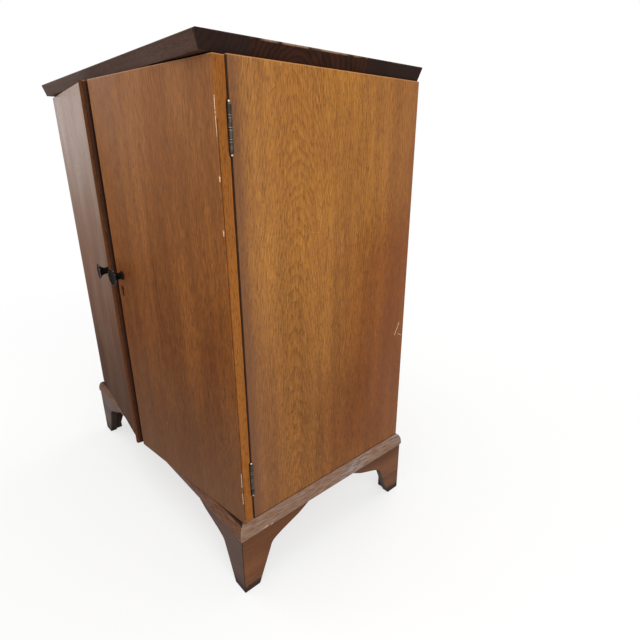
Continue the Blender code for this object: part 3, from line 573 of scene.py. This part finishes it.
def plain_timber(name, pieces, shades, log, finish, pattern=(), stand=()):
    """Make a timber that is alike all over, and give it to its pieces."""
    material, tree = fresh(name)
    figure, colour = timber(tree, placed(tree, *stand), shades, *log, *pattern)
    lacquer(tree, colour, figure, *finish)
    dress(pieces, material)


plain_timber("astragal_solid_walnut", ["astragal"], astragal_shades, astragal_log,
             astragal_finish, stand=astragal_stand)


# The top slab
# Solid boards glued edge to edge, stained nearly black, with all four edges planed to
# lean out. Growth rings arch on the end grain at the sides, and the upper arris has
# worn back to pale wood.
slab_board_width = 0.235
slab_first_joint = -0.130
slab_middle = 0.9529
slab_end = 0.378
slab_pith_drop = 0.065
slab_pith_share = 0.55
slab_ring_width = 0.0085
slab_taper = 0.012
slab_board_shift = 1.7
slab_shades = ("#563d31", "#402b23", "#231813")
slab_end_shades = ("#3d2318", "#1c110c", "#0f0a08")
slab_end_figure = ((0.30, 0.20, 0.60), 0.3)
slab_odd_end = ("#241c1a", 0.62)
slab_worn = "#b8977c"
slab_worn_strength = 0.65
# The wear lies in reaches along three axes, each from where it starts to where it is full.
slab_worn_reaches = (
    ("Z", 0.9618, 0.9632), ("Y", -0.135, -0.105), ("Y", 0.120, 0.090), ("X", 0.380, 0.386),
)
slab_patches_per_metre = 45
slab_patch_range = (0.40, 0.58)
slab_rub = (0.0012, 0.035)
slab_rub_strength = 0.20
slab_finish = ((0.50, 0.64), 0.04)

ebonised, tree = fresh("ebonised_walnut_boards")
place = placed(tree, (0, 0, 0), (0, math.pi / 2, 0))
spot = add(tree, "SeparateXYZ", {0: place}).outputs
from_joint = add(tree, "Math", {0: spot["Y"], 1: slab_first_joint}, operation="SUBTRACT")
boards = add(tree, "Math", {0: from_joint, 1: slab_board_width}, operation="DIVIDE")
board = add(tree, "Math", {0: boards}, operation="FLOOR")
within = add(tree, "Math", {0: boards, 1: board}, operation="SUBTRACT")
odd = add(tree, "Math", {0: board, 1: 2}, operation="FLOORED_MODULO")
across = add(tree, "Math", {0: within, 1: slab_board_width}, operation="MULTIPLY")
flip = add(tree, "MapRange", {"Value": odd, "To Min": 1, "To Max": -1})
up = add(tree, "Math", {0: spot["X"], 1: slab_middle}, operation="ADD")
up = add(tree, "Math", {0: up, 1: flip}, operation="MULTIPLY")
along = add(tree, "Math", {0: board, 1: slab_board_shift, 2: spot["Z"]}, operation="MULTIPLY_ADD")
in_board = add(tree, "CombineXYZ", {"X": up, "Y": across, "Z": along})
board_log = ((slab_pith_drop, slab_board_width * slab_pith_share, 0), slab_ring_width, slab_taper)
figure, long_grain = timber(tree, in_board, slab_shades, *board_log)
_, end_grain = timber(tree, in_board, slab_end_shades, *board_log, *slab_end_figure)
ends = add(tree, "Math", {0: spot["Z"]}, operation="ABSOLUTE")
ends = add(tree, "Math", {0: ends, 1: slab_end}, operation="GREATER_THAN")
colour = add(tree, "Mix", {"Factor": ends, "A": long_grain, "B": end_grain}, data_type="RGBA")
whole = add(tree, "SeparateXYZ", {0: placed(tree)}).outputs
patchy = add(tree, "TexNoise", {
    "Vector": placed(tree), "Scale": slab_patches_per_metre, "Detail": 4})
worn = between(tree, patchy, *slab_patch_range)
for axis, start, end in slab_worn_reaches:
    worn = overlap(tree, worn, between(tree, whole[axis], start, end))
colour = mixed(tree, colour, overlap(tree, odd, ends), *slab_odd_end)
colour = mixed(tree, colour, worn, slab_worn, slab_worn_strength)
colour = mixed(tree, colour, rubbed_edges(tree, *slab_rub), slab_worn, slab_rub_strength)
lacquer(tree, colour, figure, *slab_finish)
dress(["top_slab"], ebonised)


# The boards inside the case
# Floor, top board and adjustable shelf of plain stained birch, grain running across, on
# four steel pins. They aren't in the photograph.
inside_shades = ("#94693f", "#755130", "#4f3520")
inside_log = ((0.5, 0.05, 0), 0.007, 0.03)
inside_figure = ((0.35, 0.3, 0.3), 0.25)
inside_finish = ((0.45, 0.58),)
inside_stand = ((0, 0, 0), (0, math.pi / 2, 0))
plain_timber("stained_birch_boards", ["case_floor", "case_top_board", "shelf"], inside_shades,
             inside_log, inside_finish, inside_figure, inside_stand)


# The back panel
# Thin rotary-cut plywood, unfinished and dusty, let into rebates of the sides and held
# by small domed nails all round.
back_shades = ("#957350", "#77573a", "#553c27")
back_log = ((0.10, 0.62, 0), 0.016, 0.05)
back_figure = ((0.30, 0.25, 0.60), 0.35)
back_finish = ((0.62, 0.78),)
nail_inset = 0.006
nail_spacing = 0.085
nail_head_radius = 0.0021
nail_head_rise = 0.0009
# A metal's look is its two colours and its range of roughness. Its clouds are their
# noise's scale, detail and range.
steel_look = ("#b3b3b0", "#8a8986", (0.30, 0.45))
tarnish = (90, 3, 0.38, 0.64)
turn_seed = 7
sharp_from = math.radians(38)
plain_timber("rotary_cut_plywood", ["back_panel"], back_shades, back_log, back_finish, back_figure)


def metal(tree, colour, rough):
    """Finish a metal piece."""
    shader = add(tree, "BsdfPrincipled", {
        "Base Color": colour, "Roughness": rough, "Metallic": 1.0})
    add(tree, "OutputMaterial", {"Surface": shader})


def clouded(tree, place, look, clouds):
    """Give the colour and the roughness of a metal that has clouds of another colour."""
    clear, clouding, (smooth, dull) = look
    per_metre, detail, low, high = clouds
    cloud = add(tree, "TexNoise", {"Vector": place, "Scale": per_metre, "Detail": detail})
    colour = mixed(tree, paint(clear), between(tree, cloud, low, high), clouding)
    return colour, add(tree, "MapRange", {"Value": cloud, "To Min": smooth, "To Max": dull})


def drawn_metal(name, look):
    """Make rolled or drawn metal with a light tarnish."""
    material, tree = fresh(name)
    metal(tree, *clouded(tree, placed(tree), look, tarnish))
    return material


def set_of(name, sizes):
    """Start a geometry tree that stands a fastener on each point, with its sizes as inputs."""
    return start_group(name, "Geometry", {
        "Points": "Geometry", **dict.fromkeys(sizes, "Float"), "Finish": "Material",
    }, {"Fasteners": "Geometry"})


def finish_set(tree, given, fastener):
    """Stand the fastener along each point's "facing", turned by chance, with its finish."""
    facing = add(tree, "GeometryNodeInputNamedAttribute", {"Name": "facing"},
                 data_type="FLOAT_VECTOR")
    upright = add(tree, "FunctionNodeAlignRotationToVector", {"Vector": facing}, axis="Z")
    chance = add(tree, "FunctionNodeRandomValue", {
        "Min": 0.0, "Max": math.pi, "Seed": turn_seed}, data_type="FLOAT")
    twist = add(tree, "FunctionNodeAxisAngleToRotation", {"Axis": (0, 0, 1), "Angle": chance})
    turned_in = add(tree, "FunctionNodeRotateRotation", {
        "Rotation": upright, "Rotate By": twist}, rotation_space="LOCAL")
    stood = add(tree, "GeometryNodeInstanceOnPoints", {
        "Points": given["Points"], "Instance": fastener, "Rotation": turned_in})
    real = add(tree, "GeometryNodeRealizeInstances", {"Geometry": stood})
    add(tree, "NodeGroupOutput", {"Fasteners": add(tree, "GeometryNodeSetMaterial", {
        "Geometry": real, "Material": given["Finish"]})})
    return tree


def fasten(name, body, places, tree, sizes, material):
    """Put a fastener at each place and way, as one plain mesh that rides on a body."""
    points = bpy.data.meshes.new(name)
    points.from_pydata([place for place, _ in places], [], [])
    ways = points.attributes.new("facing", "FLOAT_VECTOR", "POINT")
    ways.data.foreach_set("vector", [part for _, way in places for part in way])
    piece = show(name, points)
    maker = piece.modifiers.new(name, "NODES")
    maker.node_group = tree
    for item in tree.interface.items_tree:
        if item.in_out == "INPUT" and item.name in sizes:
            maker[item.identifier] = sizes[item.name]
        elif item.name == "Finish":
            maker[item.identifier] = material
    seen = piece.evaluated_get(bpy.context.evaluated_depsgraph_get())
    plain = bpy.data.meshes.new_from_object(seen)
    piece.modifiers.clear()
    piece.data = plain
    plain.shade_smooth()
    plain.set_sharp_from_angle(angle=sharp_from)
    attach(piece, body)


domed_pins, given = set_of("domed_pins", ("Head Radius", "Head Rise"))
ball = add(domed_pins, "GeometryNodeMeshUVSphere", {"Segments": 20, "Rings": 10, "Radius": 1.0})
shape = add(domed_pins, "CombineXYZ", {
    "X": given["Head Radius"], "Y": given["Head Radius"], "Z": given["Head Rise"]})
domed_pins = finish_set(domed_pins, given, add(
    domed_pins, "GeometryNodeTransform", {"Geometry": ball, "Scale": shape}))

# Zinc-plated steel looks pale grey and faintly cloudy, and blurs what it reflects.
steel = drawn_metal("zinc_plated_steel", steel_look)
low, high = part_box("back_panel")
first_x, last_x = low.x + nail_inset, high.x - nail_inset
first_z, last_z = low.z + nail_inset, high.z - nail_inset
columns = round((last_x - first_x) / nail_spacing)
rows = round((last_z - first_z) / nail_spacing)
nails = []
for i in range(columns + 1):
    x = first_x + (last_x - first_x) * i / columns
    nails += [(x, high.y, first_z), (x, high.y, last_z)]
for i in range(1, rows):
    z = first_z + (last_z - first_z) * i / rows
    nails += [(first_x, high.y, z), (last_x, high.y, z)]
fasten("back_panel_nails", "cabinet", [(nail, (0, 1, 0)) for nail in nails], domed_pins,
       {"Head Radius": nail_head_radius, "Head Rise": nail_head_rise}, steel)


# The base frame
# Four rails of solid walnut, moulded with a thumbnail edge and mitred at the corners.
# Mops and shoes have greyed their noses and chipped them pale. The side rails' grey is
# partly painted sheen, and the rails' tops carry painted shade and highlight.
# The shades along the sides are greyer and paler than across the front, partly as painted sheen.
rail_shades = {
    "across": ("#74492b", "#4a2c19", "#2c1a11"),
    "along": ("#94786a", "#45322b", "#231713"),
}
rail_log = ((0.2, 0.3, 0), 0.0030, 0.02)
rail_figure = ((0.20, 0.62, 0.30), 0.85)
# Greyed scuffs, stronger on the side rails, where the grey also stands as painted sheen.
rail_scuffs_and_sheen = {"across": ("#856657", 0.36), "along": ("#aa9d98", 0.66)}
rail_scuff_size = (0.0015, 0.0015, 0.024)
rail_scuff_range = (0.42, 0.58)
rail_patch = (0.45, 0.80, "#7f5837", 0.55)
# On upward faces: painted shade, near-black on the front and back rails' tops under the doors; painted
# highlight, pale grey on the side rails' tops.
rail_top_painted_shade_and_highlight = {"across": (0.90, 0.98, "#1b110c", 0.85), "along": (0.90, 0.98, "#a58d80", 0.45)}
rail_rub = (0.0012, 0.02, 0.50, 0.62)
rail_pale = "#dcbd9c"
rail_rub_strength = 0.45
rail_finish = ((0.46, 0.62), 0.10)
rail_pore_depth = 0.0001
rail_chips = (
    ((0.3940, -0.1590, 0.1328), (0.3940, -0.1562, 0.1335), 0.0012),
    ((0.3940, -0.1540, 0.1335), (0.3940, -0.1500, 0.1345), 0.0014),
    ((0.3940, -0.1405, 0.1318), (0.3940, -0.1372, 0.1326), 0.0012),
    ((0.3930, -0.0200, 0.1530), (0.3930, -0.0150, 0.1535), 0.0006),
    ((0.3930, 0.0000, 0.1508), (0.3930, 0.0040, 0.1512), 0.0006),
    ((0.3930, 0.1280, 0.1500), (0.3930, 0.1330, 0.1503), 0.0006),
)
for run_name, turn, names in (
    ("across", (0, math.pi / 2, 0), ("base_rail_front", "base_rail_back")),
    ("along", (-math.pi / 2, 0, 0), ("base_rail_right", "base_rail_left")),
):
    walnut, tree = fresh(f"worn_walnut_rail_{run_name}")
    place = placed(tree, (0, 0, 0), turn)
    figure, colour = timber(tree, place, rail_shades[run_name], *rail_log, *rail_figure)
    scaled = add(tree, "VectorMath", {0: place, 1: rail_scuff_size}, operation="DIVIDE")
    scuffs = add(tree, "TexNoise", {"Vector": scaled, "Scale": 1, "Detail": 3})
    colour = mixed(tree, colour, between(tree, scuffs, *rail_scuff_range), *rail_scuffs_and_sheen[run_name])
    if run_name == "along":
        colour = faded(tree, colour, figure.outputs["Clouds"], rail_patch)
    upward = add(tree, "SeparateXYZ", {0: add(tree, "NewGeometry").outputs["Normal"]}).outputs["Z"]
    colour = faded(tree, colour, upward, rail_top_painted_shade_and_highlight[run_name])
    colour = mixed(tree, colour, rubbed_edges(tree, *rail_rub), rail_pale, rail_rub_strength)
    if run_name == "along":
        colour = mixed(tree, colour, chips(tree, placed(tree), rail_chips), rail_pale,
                       chip_strength)
    lacquer(tree, colour, figure, *rail_finish, relief=rail_pore_depth)
    dress(names, walnut)


# The bracket feet
# Each foot is two boards of solid walnut, sawn to an ogee outline and mitred at the
# corner, with a rough glue block behind, stained dark. Wet floors have blackened their
# toes.
foot_shades = {
    "across": ("#5e4134", "#3d2920", "#271a15"),
    "along": ("#7b4c2c", "#4a2b19", "#2a1810"),
}
foot_log = ((0.1, 0.2, 0), 0.005, 0.03)
foot_figure = ((0.55, 0.22, 0.16), 0.3)
foot_clouds = {"across": ("#43302b", 0.45), "along": ("#52331f", 0.45)}
foot_ragged_per_metre = 75
foot_ragged_reach = 0.016
foot_stain = (0.009, 0.001, "#14100f", 0.85)
# Painted shade: the feet's inner faces, away from their outer faces, are darkened nearly black.
foot_inner_painted_shade = ("#1b130f", 0.85)
foot_skin = 0.002
foot_mitre_heights = (0.0, 0.127)
foot_mitre_width = 0.0009
foot_mitre_dirt = ("#180f0b", 0.85)
foot_finish = ((0.46, 0.60), 0.10)
foot_corner = Vector((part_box("front_right_foot_side")[1].x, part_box("front_right_foot_front")[0].y))
foot_back = Vector((foot_corner.x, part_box("back_right_foot_back")[1].y))
foot_block_shades = ("#43332a", "#2f231d", "#1c1512")
foot_block_log = ((0.1, 0.1, 0), 0.004, 0.02)
foot_block_finish = ((0.7, 0.85), 0.08)
cabinet_corners = [(end, side_name) for end in ("front", "back") for side_name, _ in both_sides]
for run_name, turn, axis, names in (
    ("across", (0, math.pi / 2, 0), "Y",
     [f"{end}_{side_name}_foot_{end}" for end, side_name in cabinet_corners]),
    ("along", (-math.pi / 2, 0, 0), "X",
     [f"{end}_{side_name}_foot_side" for end, side_name in cabinet_corners]),
):
    walnut, tree = fresh(f"sawn_walnut_foot_{run_name}")
    place = placed(tree, (0, 0, 0), turn)
    figure, colour = timber(tree, place, foot_shades[run_name], *foot_log, *foot_figure)
    colour = mixed(tree, colour, figure.outputs["Clouds"], *foot_clouds[run_name])
    whole = placed(tree)
    ragged = add(tree, "TexNoise", {"Vector": whole, "Scale": foot_ragged_per_metre, "Detail": 3})
    spot = add(tree, "SeparateXYZ", {0: whole}).outputs
    soaked = add(tree, "Math", {0: ragged, 1: -foot_ragged_reach, 2: spot["Z"]},
                 operation="MULTIPLY_ADD")
    colour = faded(tree, colour, soaked, foot_stain)
    outer = [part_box(name) for name in names]
    low = min(getattr(corner, axis.lower()) for corner, _ in outer) + foot_skin
    high = max(getattr(corner, axis.lower()) for _, corner in outer) - foot_skin
    within = overlap(tree, between(tree, spot[axis], low, low + foot_skin),
                     between(tree, spot[axis], high, high - foot_skin))
    colour = mixed(tree, colour, within, *foot_inner_painted_shade)
    mitres = [(*[(sign * foot_corner.x, y, z) for z in foot_mitre_heights], foot_mitre_width)
              for _, sign in both_sides for y in (foot_corner.y, foot_back.y)]
    colour = mixed(tree, colour, strokes(tree, whole, mitres), *foot_mitre_dirt)
    lacquer(tree, colour, figure, *foot_finish)
    dress(names, walnut)

plain_timber("rough_stained_pine_block",
             [f"{end}_{side_name}_foot_block" for end, side_name in cabinet_corners],
             foot_block_shades, foot_block_log, foot_block_finish)


# The hinges
# Pressed butt hinges of brass, oxidised to a dark bronze, with rolled knuckles and loose
# pins. The ball finials have been rubbed bright. Countersunk slotted screws hold them.
hinge_levels = (0.8474, 0.2509)
hinge_length = 0.0635
hinge_seat = 0.0003
knuckle_radius = 0.0035
knuckle_clear = (0.0006, 0.0002)
knuckle_rings = ((0.0024, 0.0014, "#a39a8c", 0.65), (0.0013, 0.0009, "#060504", 0.95))
pin_radius = 0.0023
pin_collar = (0.0031, 0.0008)
finial_radius = 0.0020
finial_neck = 0.0012
finial_steps = 12
finial_bright = (0.0012, 0.0020, "#cfc7b8", 0.9)
turned_steps = 32
turned_sharp_from = math.radians(42)
leaf_look = ("#2f2b27", "#544d45", (0.34, 0.48))
leaf_rubbed = "#a79e90"
pin_look = ("#2e2a26", "#5c5348", (0.28, 0.40))
pin_rubbed = "#a9a091"
oxide = (140, 2, 0.35, 0.68)
bronze_rub = (0.0005, 0.006, 0.42, 0.55)
bronze_rub_strength = 0.7
screw_rise = 0.022225
case_screw_x = 0.3765
case_screw_ahead = 0.0013
door_screw_x = 0.0100
door_screw_y = -0.00005
screw_sizes = {"Head Radius": 0.0028, "Head Depth": 0.0015, "Shank Radius": 0.0014,
               "Length": 0.0125, "Slot Width": 0.0009, "Slot Depth": 0.0008}
screw_tip_radius = 0.0003
slot_length_share = 2.4


def old_bronze(name, look, rubbed):
    """Make dark oxidised bronze, rubbed bright on its edges."""
    material, tree = fresh(name)
    colour, rough = clouded(tree, placed(tree), look, oxide)
    colour = mixed(tree, colour, rubbed_edges(tree, *bronze_rub), rubbed, bronze_rub_strength)
    return material, tree, colour, rough


def from_nearest(tree, height, levels):
    """Give how far a height is from the nearest of several levels."""
    nearest = 1
    for level in levels:
        off = add(tree, "Math", {0: height, 1: level}, operation="SUBTRACT")
        off = add(tree, "Math", {0: off}, operation="ABSOLUTE")
        nearest = add(tree, "Math", {0: off, 1: nearest}, operation="MINIMUM")
    return nearest


def turned(name, outline, steps, place, material):
    """Turn an outline of (radius, height) points on a lathe, at a place, as a closed piece."""
    lathe = bmesh.new()
    points = [lathe.verts.new((radius, 0, height)) for radius, height in outline]
    edges = [lathe.edges.new(pair) for pair in zip(points, points[1:])]
    bmesh.ops.spin(lathe, geom=points + edges, cent=(0, 0, 0), axis=(0, 0, 1),
                   angle=math.tau, steps=steps, use_merge=True)
    bmesh.ops.remove_doubles(lathe, verts=lathe.verts[:], dist=1e-6)
    bmesh.ops.recalc_face_normals(lathe, faces=lathe.faces[:])
    lathe.transform(place)
    mesh = bpy.data.meshes.new(name)
    lathe.to_mesh(mesh)
    lathe.free()
    mesh.materials.append(material)
    mesh.shade_smooth()
    mesh.set_sharp_from_angle(angle=turned_sharp_from)
    return show(name, mesh)


def on_door(side_name):
    """Give the way from a door's own measures, from its pivot, to where it stands at rest."""
    sign = dict(both_sides)[side_name]
    return (Matrix.Translation((sign * door_pivot[0], door_pivot[1], 0))
            @ Matrix.Rotation(door_angle[side_name], 4, "Z"))


def stood_on_door(side_name, places):
    """Move places and ways that are measured on a door to where the door stands at rest."""
    way_there = on_door(side_name)
    return [(way_there @ Vector(place), way_there.to_3x3() @ Vector(way)) for place, way in places]


bronze, tree, colour, rough = old_bronze("oxidised_brass_leaf", leaf_look, leaf_rubbed)
spot = add(tree, "SeparateXYZ", {0: placed(tree)}).outputs
from_middle = add(tree, "Math", {0: spot["X"]}, operation="ABSOLUTE")
level_spot = add(tree, "CombineXYZ", {"X": from_middle, "Y": spot["Y"]})
from_pin = add(tree, "VectorMath", {0: level_spot, 1: (*door_pivot, 0)},
               operation="DISTANCE").outputs["Value"]
rolled = between(tree, from_pin, *[knuckle_radius + clear for clear in knuckle_clear])
from_joint = from_nearest(tree, spot["Z"], [
    level + k * hinge_length / 4 for level in hinge_levels for k in (-1, 0, 1)])
for outer, inner, hex_colour, strength in knuckle_rings:
    ring = overlap(tree, between(tree, from_joint, outer, inner), rolled)
    colour = mixed(tree, colour, ring, hex_colour, strength)
metal(tree, colour, rough)
dress([f"{side_name}_{level_name}_{leaf}_leaf" for side_name, _ in both_sides
       for level_name in ("upper", "lower") for leaf in ("case", "door")], bronze)

pin_bronze, tree, colour, rough = old_bronze("oxidised_brass_pin", pin_look, pin_rubbed)
height = add(tree, "SeparateXYZ", {0: placed(tree)}).outputs["Z"]
from_hinge = from_nearest(tree, height, hinge_levels)
low, high, hex_colour, strength = finial_bright
colour = faded(tree, colour, from_hinge,
               (hinge_length / 2 + low, hinge_length / 2 + high, hex_colour, strength))
metal(tree, colour, rough)

half = hinge_length / 2 + hinge_seat
collar_radius, collar_height = pin_collar
start = math.asin(finial_neck / finial_radius)
upper = [(pin_radius, half), (collar_radius, half), (collar_radius, half + collar_height),
         (finial_neck, half + collar_height)]
for i in range(finial_steps + 1):
    angle = start + (math.pi - start) * i / finial_steps
    radius = finial_radius * math.sin(angle) if i < finial_steps else 0
    upper.append((radius, half + collar_height + finial_radius * (1 - math.cos(angle))))
pin_outline = [(radius, -rise) for radius, rise in reversed(upper)] + upper
for side_name, sign in both_sides:
    for level_name, level in zip(("upper", "lower"), hinge_levels):
        place = Matrix.Translation((sign * door_pivot[0], door_pivot[1], level))
        pin = turned(f"{side_name}_{level_name}_turned_pin", pin_outline, turned_steps, place,
                     pin_bronze)
        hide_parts(f"{side_name}_{level_name}_hinge_pin")
        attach(pin, "cabinet")

wood_screws, given = set_of("countersunk_screws", screw_sizes)
head = add(wood_screws, "GeometryNodeMeshCone", {
    "Vertices": 24, "Radius Top": given["Head Radius"], "Radius Bottom": given["Shank Radius"],
    "Depth": given["Head Depth"]})
sunk = add(wood_screws, "Math", {0: given["Head Depth"], 1: -1.0}, operation="MULTIPLY")
head = add(wood_screws, "GeometryNodeTransform", {
    "Geometry": head.outputs["Mesh"],
    "Translation": add(wood_screws, "CombineXYZ", {"Z": sunk})})
wide = add(wood_screws, "Math", {0: given["Head Radius"], 1: slot_length_share},
           operation="MULTIPLY")
deep = add(wood_screws, "Math", {0: given["Slot Depth"], 1: 2.0}, operation="MULTIPLY")
blade = add(wood_screws, "GeometryNodeMeshCube", {"Size": add(
    wood_screws, "CombineXYZ", {"X": wide, "Y": given["Slot Width"], "Z": deep})})
slotted = add(wood_screws, "GeometryNodeMeshBoolean", {
    "Mesh 1": head, "Mesh 2": blade.outputs["Mesh"]}, operation="DIFFERENCE", solver="EXACT")
shank = add(wood_screws, "GeometryNodeMeshCone", {
    "Vertices": 16, "Radius Top": given["Shank Radius"], "Radius Bottom": screw_tip_radius,
    "Depth": given["Length"]})
reach = add(wood_screws, "Math", {0: given["Length"], 1: -1.0, 2: sunk}, operation="MULTIPLY_ADD")
shank = add(wood_screws, "GeometryNodeTransform", {
    "Geometry": shank.outputs["Mesh"],
    "Translation": add(wood_screws, "CombineXYZ", {"Z": reach})})
screw = add(wood_screws, "GeometryNodeJoinGeometry", {"Geometry": slotted.outputs["Mesh"]})
wood_screws.links.new(shank.outputs["Geometry"], screw.inputs["Geometry"])
wood_screws = finish_set(wood_screws, given, screw)

rises = [level + rise for level in hinge_levels for rise in (-screw_rise, 0, screw_rise)]
fasten("case_leaf_screws", "cabinet", [
    ((sign * case_screw_x, case_front - case_screw_ahead, z), (0, -1, 0))
    for _, sign in both_sides for z in rises], wood_screws, screw_sizes, bronze)
for side_name, sign in both_sides:
    fasten(f"{side_name}_door_leaf_screws", f"{side_name}_door", stood_on_door(side_name, [
        ((-sign * door_screw_x, door_screw_y, z), (0, 1, 0)) for z in rises]),
        wood_screws, screw_sizes, bronze)


# The knobs
# Turned trumpet knobs of brass with a black finish, held by a screw from inside. Fingers
# have worn the finish off the rims.
knob_level = 0.5788
knob_places = {"right": -0.3559, "left": 0.3635}
knob_rim = 0.0167
knob_length = 0.0207
knob_seat = 0.0003
knob_bore = (0.0023, 0.012)
knob_steps = 64
knob_look = ("#0b0908", "#1c1714", (0.44, 0.60))
knob_clouds = (160, 2, 0.35, 0.65)
knob_bare = "#b9afa2"
knob_bare_shares = (0.94, 0.985)
knob_rubs_per_metre = 330
knob_rub_range = (0.55, 0.62)
knob_shine = 0.02
knob_outline_shares = (
    (0.540, 0.000), (0.540, 0.060), (0.450, 0.120), (0.420, 0.185), (0.410, 0.260),
    (0.402, 0.340), (0.405, 0.420), (0.420, 0.500), (0.450, 0.580), (0.498, 0.655),
    (0.560, 0.730), (0.640, 0.792), (0.740, 0.850), (0.835, 0.893), (0.930, 0.935),
    (0.980, 0.953), (1.000, 0.970), (1.000, 0.985), (0.985, 1.000), (0.940, 0.996),
    (0.880, 0.985), (0.740, 0.962), (0.600, 0.945), (0.300, 0.930), (0.000, 0.925),
)
bore_radius, bore_depth = knob_bore
outline = [(0, bore_depth), (bore_radius, bore_depth), (bore_radius, 0)]
outline += [(knob_rim * r, knob_length * h) for r, h in knob_outline_shares]
for side_name in ("right", "left"):
    foot = Vector((knob_places[side_name], door_front - knob_seat, knob_level))
    place = (on_door(side_name) @ Matrix.Translation(foot) @ Matrix.Rotation(math.pi / 2, 4, "X"))
    knob_black, tree = fresh(f"{side_name}_black_finished_brass")
    on_knob = placed(tree, place.to_translation(), place.to_euler())
    round_axis = add(tree, "VectorMath", {0: on_knob, 1: (1, 1, 0)}, operation="MULTIPLY")
    out = add(tree, "VectorMath", {0: round_axis}, operation="LENGTH").outputs["Value"]
    rubs = add(tree, "TexNoise", {"Vector": on_knob, "Scale": knob_rubs_per_metre, "Detail": 2})
    bare = overlap(tree, between(tree, rubs, *knob_rub_range),
                   between(tree, out, *[knob_rim * share for share in knob_bare_shares]))
    colour, rough = clouded(tree, on_knob, knob_look, knob_clouds)
    colour = mixed(tree, colour, bare, knob_bare)
    add(tree, "OutputMaterial", {"Surface": add(tree, "BsdfPrincipled", {
        "Base Color": colour, "Roughness": rough, "Metallic": bare,
        "Specular IOR Level": knob_shine})})
    knob = turned(f"{side_name}_turned_knob", outline, knob_steps, place, knob_black)
    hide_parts(f"{side_name}_knob")
    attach(knob, f"{side_name}_door")


# The lock, the bolts and the steel parts
# A cut lock of brass let into the right door, with a strike plate opposite, and a
# barrel bolt of drawn brass on a plate inside the left door. Small slotted screws and
# domed pins hold them.
lock_screw_x, lock_screw_y = -0.3434, -0.00108
lock_screw_levels = (0.5373, 0.5593)
bolt_plate_x, bolt_plate_y, bolt_plate_z = 0.3660, 0.00082, 0.8794
plate_screw_offsets = [(x, z) for x in (-0.007975, 0.007975) for z in (-0.016, 0.016)]
strike_face, strike_pin_y = 0.3914, -0.00685
strike_pin_levels = (0.5458, 0.5758)
keep_x, keep_behind, keep_level = -0.0205, 0.0073, 0.9199
keep_pin_offsets = (-0.0105, 0.0105)
pin_sizes = {"Head Radius": 0.0013, "Head Rise": 0.0006}
brass_look = ("#b9995e", "#8b6f3f", (0.28, 0.45))
dull_brass_look = ("#9c7f4a", "#6a532e", (0.36, 0.52))

lock_screws = [((lock_screw_x, lock_screw_y, z), (0, 1, 0)) for z in lock_screw_levels]
plate_screws = [((bolt_plate_x + x, bolt_plate_y, bolt_plate_z + z), (0, 1, 0))
                for x, z in plate_screw_offsets]
strike_pins = [((strike_face, strike_pin_y, z), (1, 0, 0)) for z in strike_pin_levels]
keep_pins = [((keep_x + x, case_front + keep_behind, keep_level), (0, 0, -1))
             for x in keep_pin_offsets]

# Aged brass is warm yellow with brown clouds. The screws' brass is browner and duller.
brass = drawn_metal("aged_brass", brass_look)
dress(["lock_case", "lock_bolt", "strike_plate", "door_bolt", "door_bolt_plate",
       "door_bolt_keep"], brass)
dress([f"{side_name}_knob_screw" for side_name, _ in both_sides]
      + [f"{end}_{side_name}_{what}" for end, side_name in cabinet_corners
         for what in ("shelf_pin", "top_screw")], steel)
dull_brass = drawn_metal("dull_brass_screws", dull_brass_look)
fasten("lock_flange_screws", "right_door", stood_on_door("right", lock_screws), wood_screws,
       screw_sizes, dull_brass)
fasten("bolt_plate_screws", "left_door", stood_on_door("left", plate_screws), wood_screws,
       screw_sizes, dull_brass)
fasten("strike_plate_pins", "left_door", stood_on_door("left", strike_pins), domed_pins,
       pin_sizes, brass)
fasten("bolt_keep_pins", "cabinet", keep_pins, domed_pins, pin_sizes, brass)
